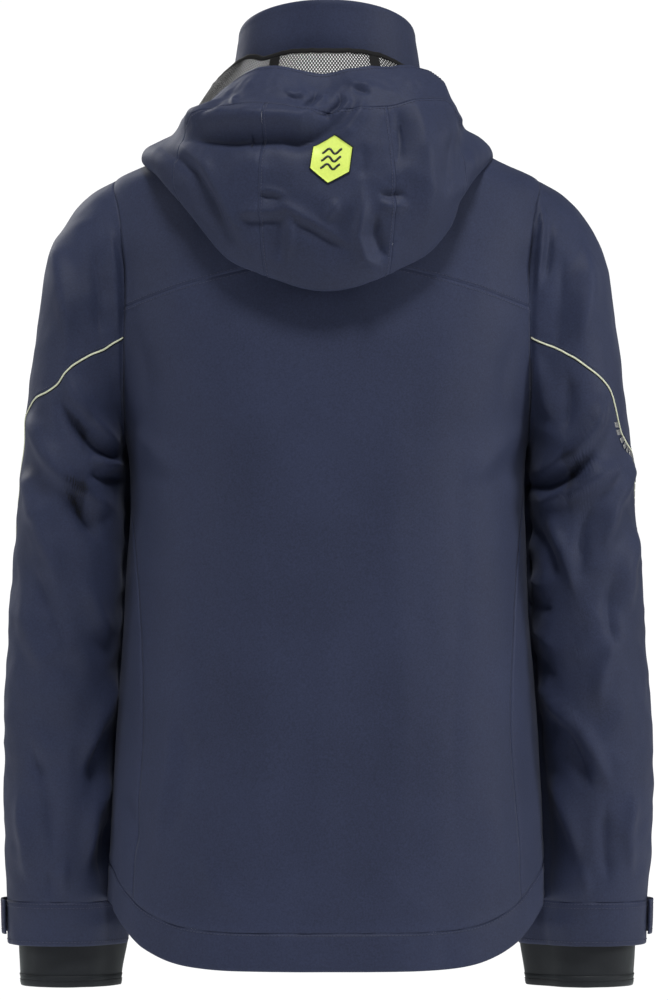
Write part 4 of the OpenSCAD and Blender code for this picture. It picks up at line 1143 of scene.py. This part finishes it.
def hood_shape(phi, t):
    """The hood with the small differences between its two sides."""
    p = hood_at(phi, t)
    x, side, right = p[..., 0], np.abs(p[..., 0]), p[..., 0] < 0
    tip = smooth(108, 150, side)
    p[..., 0] += smooth(0.08, 0.3, t) * np.where(right, 18 * smooth(112, 150, side), 0)
    lip = (-5.5 * np.exp(-((x - 8) / 26) ** 2) + 2.2 * np.exp(-((x + 78) / 16) ** 2)
           + 13 * smooth(-56, -110, x) * smooth(-118, -109, x) - 6 * smooth(-114, -126, x)
           - 12 * smooth(84, 120, x) - 4.5 * np.exp(-((x - 88) / 9) ** 2))
    low = smooth(0.2, 0.4, t) * smooth(0.8, 0.55, t)
    belly = 9 * np.exp(-((x - 96) / 34) ** 2) + 6 * np.exp(-((x + 98) / 26) ** 2)
    neck = 11 * smooth(36, 52, phi) * smooth(98, 76, phi) * smooth(0.3, 0.0, t)
    p[..., 2] += lip * smooth(0.55, 0.95, t) + neck - smooth(0.3, 0.5, t) * tip * np.where(right, 6, 8) - low * belly
    return p


def folded_hood(t, phi):
    """The hood's cloth with its folds, from a grid of t and phi, and its normals."""
    p = hood_shape(phi, t)
    n = grid_normals(p)
    p = p + n * hood_move(p, n, t)[..., None]
    return p, grid_normals(p)


def hood_panel(name, angles, t1, rows, cols, seams, apart=0.0):
    """A panel from the collar's seam to t1; apart lifts its front, to part the legs of the folded wing."""
    angles = sorted(angles)
    t, phi = np.meshgrid(t1 * edged(rows, 430), angles[0] + (angles[1] - angles[0]) * edged(cols, 60), indexing="ij")
    p, n = folded_hood(t, phi)
    p, seam = seam_relief(p, n, seams, 0.22, 0.2)
    p = p + n * (apart * smooth(64, 92, np.abs(phi)))[..., None]
    on_hood(cloth(name, p, CLOTH, None, values=seam, thick=1.2))
    return p, grid_normals(p)


p, n = hood_panel("hood_centre_panel", (-HOOD_SEAM, HOOD_SEAM), BRIM_T, 170, 60, ("left", "right", "bottom"))
for edge in ("left", "right", "bottom"):
    stitch_edge("hood", p, n, edge, 3.0)
for SIDE, TAG in SIDES:
    p, n = hood_panel("hood_side_" + TAG, (SIDE * HOOD_SEAM, SIDE * HOOD_SPLIT), BRIM_T, 170, 46,
                      ("left" if SIDE > 0 else "right", "bottom"))
    stitch_edge("hood", p, n, "bottom", 3.0)
    p, n = hood_panel("hood_wing_" + TAG, (SIDE * HOOD_SPLIT, SIDE * HOOD_REACH), 1.0, 130, 96, ("top",), 1.7)
    stitch_edge("hood_wing", p, n, "bottom", 5.0)

# The brim: a gathered casing with its turned edge
t, phi = np.meshgrid(lin(BRIM_T - 0.002, 1.0, 40), lin(-HOOD_SPLIT, HOOD_SPLIT, 190), indexing="ij")
p, n = folded_hood(t, phi)
f = np.clip((t - BRIM_T) / (1 - BRIM_T), 0, 1)
gather = 0.8 * noise_at(p * [1.0, 1.0, 0.25], 7.5, 50.0) * np.sin(np.pi * f)
p = p + n * (0.12 + 0.4 * smooth(0.05, 0.4, f) + gather)[..., None]
n = grid_normals(p)
stitch_edge("hood", p, n, "bottom", 3.0)
on_hood(cloth("hood_brim", roll_in(p, n, 2.0, 14), CLOTH, None, thick=1.0))


def hood_point(phi, t, lift):
    """Points and normals on the finished hood cloth; lift is along the outward normal."""
    p = hood_shape(phi, t)
    n = unit(np.cross(hood_shape(phi, t + 0.004) - hood_shape(phi, t - 0.004),
                      hood_shape(phi + 0.4, t) - hood_shape(phi - 0.4, t)))
    return p + n * (hood_move(p, n, t) + lift)[..., None], n


# Pale membrane inside the bag with a painted glow, the black net over it, and the tapes
t, phi = np.meshgrid(lin(0.0, 0.88, 60), lin(-HOOD_SPLIT + 5, HOOD_SPLIT + 27.5, 70), indexing="ij")
p, n = hood_point(phi, t, -2.3 - 5 * smooth(0.42, 0.55, t))
on_hood(cloth("hood_lining_membrane", p, [MEMBRANE], None, (), thick=0.4))

NET_CELL, NET_ROW, NET_HALF, NET_THICK, NET_DEPTH = 3.6, 0.56, 0.44, 0.2, -3.3


def net_mesh(name, t1, lo, hi):
    """A net of thin strands in a staggered pattern over the membrane, from the collar's seam to t1."""
    t = lin(0, t1, 400)
    run = arc(hood_at(0 * t, t), 0)
    rows = int(run[-1] / (NET_CELL * NET_ROW))
    cols = int(math.radians(hi - lo) * 118 / NET_CELL)
    t_rows = np.interp(lin(0, run[-1], rows + 1), run, t)
    knots = np.array([(mix(lo, hi, min(1, (j + i % 2 / 2) / cols)), t_rows[i])
                      for i in range(rows + 1) for j in range(cols + 1)])
    p, n = hood_point(knots[:, 0], knots[:, 1], NET_DEPTH)
    verts, faces = [], []
    for i in range(rows):
        for j in range(cols + 1):
            a, below = i * (cols + 1) + j, (i + 1) * (cols + 1)
            for k in (j, j + 1 if i % 2 else j - 1):
                d = p[below + min(max(k, 0), cols)] - p[a]
                length = np.linalg.norm(d)
                if not 0 <= k <= cols or length < 0.3:
                    continue
                d /= length
                across, base = np.cross(d, n[a]), len(verts)
                for q in (p[a] - d * 0.2, p[a] + d * (length + 0.2)):
                    for x, y in ((-1, -1), (1, -1), (1, 1), (-1, 1)):
                        verts.append(q + across * NET_HALF * x + n[a] * NET_THICK * y)
                faces += [(base + v, base + 4 + v, base + 4 + (v + 1) % 4, base + (v + 1) % 4) for v in range(4)]
    return mesh_of(name, verts, faces)


on_hood(new_object("hood_net", net_mesh("hood_net", 0.42, -HOOD_SPLIT + 4, HOOD_SPLIT + 29),
                   [NET], None, ("hood_mesh_lining",)))

# Binding along the hood's neck seam, and two short tapes down the net
phi, r = np.meshgrid(lin(-118, 118, 200), lin(0, 1, 10))
quarters = lin(0, 1, 5)
out = np.interp(r, quarters, [4.6, 4.2, 1.6, -1.0, -1.8])
base = hood_shape(phi, 0 * phi)
rise = np.interp(r, quarters, [-3.0, 0.4, 1.2, 0.4, -3.0]) + 0.9 * noise_at(base, 7, 3)
p = base + np.stack([out * sin_d(phi), out * cos_d(phi), rise], -1)
on_hood(cloth("hood_neck_tape", p[::-1], [TAPE], None, thick=0.8))
for i, middle in enumerate((-28.0, 31.0)):
    t, phi = np.meshgrid(lin(0.0, 0.33, 40), lin(middle - 3.0, middle + 3.0, 8), indexing="ij")
    p, n = hood_point(phi, t, -4.1)
    on_hood(cloth("hood_strap_%d" % i, p[:, ::-1], [TAPE], None, ("hood_seam_tapes",) if i else (),
                  thick=0.9))

# Badge: a plain six-sided print with a dark edge and three waves
BADGE_X, BADGE_Z, BADGE_W, BADGE_H, TILT = -4.0, -51.0, 18.2, 22.0, math.radians(8)
T_LINE = lin(0.6, 0.86, 400)


def badge_points(xy, lift):
    """Points of the badge's plane laid on the hood, and the normals there."""
    xy = xy @ [[math.cos(TILT), math.sin(TILT)], [-math.sin(TILT), math.cos(TILT)]]
    x, z = BADGE_X + xy[:, 0], BADGE_Z + xy[:, 1]
    line = hood_shape(np.full(400, -1.5), T_LINE)
    t, r = (np.interp(z, line[:, 2], v) for v in (T_LINE, line[:, 1]))
    return hood_point(np.degrees(np.arcsin(x / r)), t, lift)


def hexagon(scale, rings=10, per_side=10):
    """A six-sided plate as rings of points round its middle, and its faces."""
    corners = np.array([(0, 1), (1, 0.5), (1, -0.5), (0, -1), (-1, -0.5), (-1, 0.5)]) * [BADGE_W, BADGE_H] * scale
    steps = lin(0, 1, per_side, endpoint=False)[:, None]
    edge = np.concatenate([mix(a, b, steps) for a, b in zip(corners, np.roll(corners, -1, 0))])
    m = len(edge)
    faces = [(1 + j, 1 + (j + 1) % m, 0) for j in range(m)]
    faces += [tuple(1 + v for v in f[::-1]) for f in ring_faces(rings, m)]
    return np.concatenate([np.zeros((1, 2))] + [edge * (i / rings) for i in range(1, rings + 1)]), faces, m


def ring_faces(n, m):
    """Faces between n closed rings of m points."""
    return [(i * m + j, i * m + (j + 1) % m, (i + 1) * m + (j + 1) % m, (i + 1) * m + j)
            for i in range(n - 1) for j in range(m)]


for name, scale, lift, mat, nodes in (("badge_edge", 1.035, 1.1, PRINT, ()), ("hood_badge", 0.985, 1.6, LIME, None)):
    pts, faces, m = hexagon(scale)
    top, nor = badge_points(pts, lift)
    faces += [tuple(len(top) - m + v for v in f) for f in ring_faces(2, m)]
    verts = np.concatenate([top, top[-m:] - nor[-m:] * 0.9])
    new_object(name, mesh_of(name, verts, faces), [mat], "hood", nodes)
for i, height in enumerate((7.0, 0.0, -7.0)):
    x = lin(-9, 9, 40)
    line, nor = badge_points(np.column_stack([x, height + 2.2 * np.sin(x / 6 * np.pi)]), 1.75)
    tube("badge_wave_%d" % i, line, 1.05, PRINT, 8, "hood", (), 0.35, nor)

# ---------------------------------------------------------------- linings
s, r = np.meshgrid(lin(0, 1, 130), lin(0, 1, 60))
u = mix(14, 346, s)
p = body_at(u, mix(-330, hem_z(u) + 42, r))
p = p - grid_normals(p) * (9.6 + 1.6 * noise_at(p * [1, 1, 0.4], 40, 60))[..., None]
cloth("body_lining", p, [LINING], thick=0.8)

# ---------------------------------------------------------------- zips
# Width and thickness of the teeth, width and length of the slider, height of its bridge
MAIN = dict(w=6.4, t=2.4, sw=10.5, sl=15.0, lift=0.0)
POCKET = dict(w=4.8, t=2.0, sw=8.0, sl=11.0, lift=2.8)
PLATE, PLAY = 1.3, 0.35


def zip_face(zp):
    return -zp["t"] / 2 - PLAY - PLATE


def block(center, size, taper=1.0):
    """An eight-cornered block; taper narrows its outer side."""
    verts = [[c + d * v / 2 * k for c, d, v, k in zip(center, (dx, dy, dz), size, (taper if dy < 0 else 1, 1, taper if dy < 0 else 1))]
             for dy in (-1, 1) for dx, dz in ((-1, -1), (1, -1), (1, 1), (-1, 1))]
    return verts, [(0, 1, 2, 3), (7, 6, 5, 4), (0, 4, 5, 1), (1, 5, 6, 2), (2, 6, 7, 3), (3, 7, 4, 0)]


def solid(name, parts, fr, mat, body="jacket", nodes=None, bevel=0.25, level=0):
    """One piece from several closed parts in a zip's frame."""
    verts, faces = [], []
    for points, part_faces in parts:
        faces += [tuple(len(verts) + v for v in f)[::fr.mirror] for f in part_faces]
        verts += list(points)
    obj = new_object(name, mesh_of(name, fr(verts), faces, smooth_faces=False), [mat], body, nodes)
    if bevel:
        modify(obj, "BEVEL", width=bevel * MM, segments=2, limit_method="ANGLE")
    if level:
        modify(obj, "SUBSURF", levels=level, render_levels=level)


def teeth(zp, top, bottom, pitch, side):
    """Moulded teeth of one half; the two halves are half a pitch apart."""
    parts, w, t = [], zp["w"] / 2, zp["t"]
    z = top - (0 if side > 0 else pitch / 2)
    while z > bottom:
        parts.append(block((side * (w + 0.86) / 2, 0, z), (w - 0.86, t, pitch * 0.46), 0.86))
        parts.append(block((side * (w - 0.5), 0, z), (1.6, t * 0.8, pitch * 0.74), 0.9))
        z -= pitch
    return parts


def tape_grid(fr, x0, x1, top, bottom, y, rows):
    s, r = np.meshgrid(lin(0, 1, 6), lin(0, 1, rows))
    return fr(np.stack([mix(x0, x1, s), y + 0.12 * np.sin(r * rows * 0.9), mix(top, bottom, r)], -1))[:, ::fr.mirror]


def rounded_plate(y, zp):
    """One plate of a slider: wide shoulders, narrower tail."""
    w, l = zp["sw"] / 2, zp["sl"]
    flank = [(w * (1 - 0.22 * smooth(0, 1, a)), -3.2 - (l - 5.2) * a) for a in lin(0, 1, 6)]
    outline = [(w * 0.98 * cos_d(a), -2.6 + 2.6 * sin_d(a)) for a in lin(0, 180, 13)] + [(-x, z) for x, z in flank]
    outline += [(-w * 0.78 * cos_d(a), -l + 2.0 - 2.0 * sin_d(a)) for a in lin(0, 180, 9)] + flank[::-1]
    m = len(outline)
    faces = [tuple(range(m))[::-1], tuple(range(m, 2 * m))] + ring_faces(2, m)
    return [(x, y + d, z) for d in (0, PLATE) for x, z in outline], faces


def slider_parts(zp):
    """Two plates, the post between them and the bridge that holds the puller."""
    slot_h, l, f, h = zp["t"] + 2 * PLAY, zp["sl"], zip_face(zp), zp["lift"]
    arch = [(0, f + 0.3, -1.6), (0, f - 1.6 - h * 0.6, -1.9), (0, f - 3.1 - h, -3.0), (0, f - 3.7 - h, -l * 0.45),
            (0, f - 3.1 - h, -l + 3.6), (0, f - 1.6 - h * 0.6, -l + 2.7), (0, f + 0.3, -l + 2.4)]
    return [rounded_plate(-slot_h / 2 - PLATE, zp), rounded_plate(slot_h / 2, zp),
            block((0, 0, -2.5), (0.8, slot_h + 0.3, 4.0)), tube_parts(resample(arch, 0.9), 0.95, 8, flat=0.8)]


def puller_parts(zp, w, length):
    """A puller's metal ring, and its rubber grip with four ribs."""
    l, f = zp["sl"], zip_face(zp)
    pz, py, e = -l * 0.4, f - 1.55 - zp["lift"], l * 0.6 - 0.7
    a = lin(0, 360, 33)[:-1]
    half = (e + 0.6) / 2
    ring = np.stack([2.6 * spow(cos_d(a), 0.5), py + 0 * a, pz - half + half * spow(sin_d(a), 0.6)], -1)
    metal = tube_parts(ring, 0.75, 8, closed=True, normals=np.tile([0, -1.0, 0], (32, 1)))
    rows = [(-e - 0.2, 2.4, 1.1), (-e - 1.4, 3.3, 1.9), (-e - 5, 3.4, 2.1), (-e - 9, 2.7, 1.9), (-length * 0.62, w * 0.42, 1.9),
            (-length * 0.85, w * 0.5, 2.1), (-length + 2, w * 0.48, 2.0), (-length + 0.3, w * 0.36, 1.2)]
    m = 16
    a = 360 * np.arange(m) / m
    c, s = spow(cos_d(a), 0.6), spow(sin_d(a), 0.6)
    verts = np.concatenate([np.stack([half_w * c, py - 0.3 + thick / 2 * s, pz + z + 0 * a], -1)
                            for z, half_w, thick in rows])
    faces = [f[::-1] for f in ring_faces(len(rows), m)]
    faces += [tuple(range(m)), tuple(range((len(rows) - 1) * m, len(rows) * m))[::-1]]
    ribs = [block((0, py - 1.3, pz - length * (0.62 + 0.07 * i)), (w * 0.62, 0.6, 1.1), 0.8) for i in range(4)]
    return [metal], [(verts, faces)] + ribs


def slider_and_puller(slider, puller, zp, fr, grip, bevel):
    """A slider, its puller's ring and the puller's grip of that width and length."""
    solid(slider, slider_parts(zp), fr, METAL, slider, bevel=bevel)
    metal, rubber = puller_parts(zp, *grip)
    solid(puller + "_ring", metal, fr, METAL, puller, (), bevel=0)
    solid(puller, rubber, fr, PULL, puller, bevel=0, level=1)


def stitch_down(x, y, top, bottom, count):
    """A row of stitches down the main zip."""
    line = MAIN_FRAME(np.stack([np.full(count, x), np.full(count, y), lin(top, bottom, count)], -1))
    stitch("zip", line, np.tile(-INWARD, (count, 1)))


# Main zip
for SIDE, TAG in SIDES:
    solid("zip_chain_" + TAG, teeth(MAIN, -9.6, -MAIN_LEN + 9, 2.9, SIDE), MAIN_FRAME, TEETH, bevel=0.18)
    x0, x1 = sorted((SIDE * 2.7, SIDE * 13.5))
    cloth("zip_tape_" + TAG, tape_grid(MAIN_FRAME, x0, x1, -2, -MAIN_LEN + 1, 0.1, 320), [TAPE],
          nodes=("zip_tapes",) if SIDE > 0 else (), thick=0.7)
    stitch_down(SIDE * 7.2, -0.05, -6, -MAIN_LEN + 4, 200)
solid("zip_top_stops", [block((x, 0, -7.1), (2.1, 2.4, 2.8), 0.8) for x in (-2.0, 2.0)], MAIN_FRAME,
      METAL, bevel=0.3)
solid("zip_box", [block((0, 0, -MAIN_LEN + 3.9), (8.4, 3.6, 6.6), 0.88),
                  block((0, -1.7, -MAIN_LEN + 3.9), (5.0, 0.5, 3.4), 0.8)],
      MAIN_FRAME, TEETH, bevel=0.35)
slider_and_puller("zip_slider", "zip_puller", MAIN, MAIN_FRAME.moved(-10), (9, 36), 0.2)

# Inner storm flap and the soft cap over the zip's top
s, r = np.meshgrid(lin(-25, 24, 12), lin(-4, -MAIN_LEN + 6, 170))
p = MAIN_FRAME(np.stack([s, 5.0 + 0.9 * noise_at(np.stack([s, 0 * s, r], -1), 30, 70), r], -1))
cloth("inner_storm_flap", p, CLOTH, thick=1.2)
for x in (-21, 20):
    stitch_down(x, 4.4, -8, -MAIN_LEN + 10, 160)
CAP = np.array([(-2.6, -4.5), (-2.7, -1.0), (-2.3, 0.8), (-0.6, 1.6), (1.4, 1.6), (2.9, 0.8), (3.3, -1.0), (3.3, -6.0)])
s, r = np.meshgrid(lin(-8.4, 8.4, 14), np.arange(len(CAP)))
p = MAIN_FRAME(np.stack([s, CAP[r, 0], CAP[r, 1]], -1))
cloth("chin_guard", p[::-1], [TAPE], thick=0.7, level=1)

# Pocket zips
for NAME, ends, SIDE in (("hand_pocket_%s_left", HAND, 1), ("hand_pocket_%s_right", HAND, -1), ("chest_pocket_%s", CHEST, 1)):
    fr, length = pocket_frame(ends, SIDE)
    solid(NAME % "zip", [part for half in (1, -1) for part in teeth(POCKET, -1.5, -length + 1, 2.2, half)], fr,
          TEETH, bevel=0.15)
    for x0, x1, tag in ((2.2, 9, "_a"), (-9, -2.2, "_b")):
        cloth(NAME % "tape" + tag, tape_grid(fr, x0, x1, 4, -length - 4, 0.2, 60), [TAPE], nodes=(),
              thick=0.6)
    corners = [(7.6, 3.4), (7.6, -length - 3.4), (-7.6, -length - 3.4), (-7.6, 3.4), (7.6, 3.4)]
    box = resample([(x, -POCKET_DEPTH - 0.75, z) for x, z in corners], 3.0)
    stitch("body", fr(box), np.tile(fr.turn([0, -1, 0]), (len(box), 1)))
    slider_and_puller(NAME % "slider", NAME % "puller", POCKET, fr.moved(-1), (7, 27), 0.15)

# Pocket bags: x and z of their edges on the left, and the side
for NAME, xs, zs, SIDE in (("hand_pocket_bag_left", (62, 150), (-455, -680), 1),
                           ("hand_pocket_bag_right", (62, 150), (-455, -680), -1),
                           ("chest_pocket_bag", (50, 130), (-195, -350), 1)):
    x, z = np.meshgrid(lin(*xs, 18), lin(*zs, 34))
    p = place(on_front(x, z), SIDE)
    cloth(NAME, p - grid_normals(p) * (6.8 + 0.5 * noise_at(p, 30, 80))[..., None], [LINING], thick=0.6)

# Hang loop: a tape sewn down at both ends inside the back of the collar
HALF_LOOP = [(0, 61.0, 17.8), (12, 61.5, 18), (24, 63.5, 18.6), (30, 68.0, 19.5), (34, 70.0, 20)]
line = resample([(-x, y, z) for x, y, z in HALF_LOOP[:0:-1]] + HALF_LOOP, 1.5)
s, r = np.meshgrid(np.arange(len(line)), lin(0.5, -0.5, 7))
cloth("hang_loop", line[s] + np.stack([0 * r, 0 * r, r * 9.0], -1), [TAPE], thick=0.9)


def stitch_home(group):
    """Body, slot and thread of a group of stitches; those of the hood get no body and have their transforms baked
    afterwards.
    """
    if group.startswith("tab_"):
        return "cuff_" + group, "shell_trim", THREAD
    if group.startswith("cuff_"):
        return "jacket", "inner_cuff", THREAD_BLACK
    if group == "zip":
        return "jacket", "black_tape", THREAD_BLACK
    return None if group.startswith("hood") else "jacket", "shell", THREAD


finish_stitches(stitch_home)
for name in ("stitching_hood", "stitching_hood_wing"):
    on_hood(bpy.data.objects[name])


# ---------------------------------------------------------------- floor, light, camera
def staged(name, data):
    obj = bpy.data.objects.new(name, data)
    bpy.context.scene.collection.objects.link(obj)
    return obj


FLOOR_R, FLOOR_Z, FLOOR_SIDES, FLOOR_GRAY = 3.4, -1.2, 96, 0.92
angles = 2 * np.pi * np.arange(FLOOR_SIDES) / FLOOR_SIDES
floor_mesh = bpy.data.meshes.new("floor")
floor_mesh.from_pydata([(FLOOR_R * math.cos(a), FLOOR_R * math.sin(a), FLOOR_Z) for a in angles], [],
                       [tuple(range(FLOOR_SIDES))])
mat, tree, shader = material("pale_floor", (FLOOR_GRAY,) * 3, 0.9, Emission_Color=(1, 1, 1, 1), Emission_Strength=0.3)
patches = node(tree, "TexNoise", {"Scale": 4.0, "Detail": 4.0}).outputs["Fac"]
tree.links.new(shades(tree, patches, (FLOOR_GRAY,) * 3, 0.011, 0, 1), shader.inputs["Base Color"])
floor_mesh.materials.append(mat)
staged("floor", floor_mesh)

# Plain white around, brighter for the camera than for the light it gives
world = bpy.data.worlds.new("studio")
bpy.context.scene.world = world
world.use_nodes = True
tree = world.node_tree
tree.nodes["Background"].inputs["Color"].default_value = (1, 1, 1, 1)
seen = node(tree, "LightPath").outputs["Is Camera Ray"]
tree.links.new(maths(tree, "MULTIPLY_ADD", seen, 0.93, 0.12), tree.nodes["Background"].inputs["Strength"])

# Lamps: place, power in watts and width, all aimed at the jacket's chest
for name, place_at, energy, size in (("key", (-0.15, 1.7, 2.95), 84, 0.8), ("side_right", (-2.9, 0.9, 0.5), 36, 1.0),
                                     ("side_left", (2.9, 0.9, 0.7), 16, 1.0), ("front_key", (1.8, -2.6, 1.4), 42, 1.8)):
    data = bpy.data.lights.new(name, "AREA")
    data.energy, data.shape, data.size = energy, "DISK", size
    lamp = staged(name, data)
    lamp.location = place_at
    lamp.rotation_euler = (Vector((0, 0, -0.3)) - lamp.location).to_track_quat("-Z", "Y").to_euler()

CAM_D, VIEW_H, BACK_Y, SENSOR = 6.0, 0.940, 0.06, 24.0
cam_data = bpy.data.cameras.new("camera")
cam = staged("camera", cam_data)
cam.location = (-0.0066, CAM_D, -0.365)
cam.rotation_euler = (math.radians(90), 0, math.radians(180))
cam_data.sensor_fit, cam_data.sensor_height = "VERTICAL", SENSOR
cam_data.lens = SENSOR * (CAM_D - BACK_Y) / VIEW_H
bpy.context.scene.camera = cam
bpy.context.scene.view_settings.view_transform = "Standard"
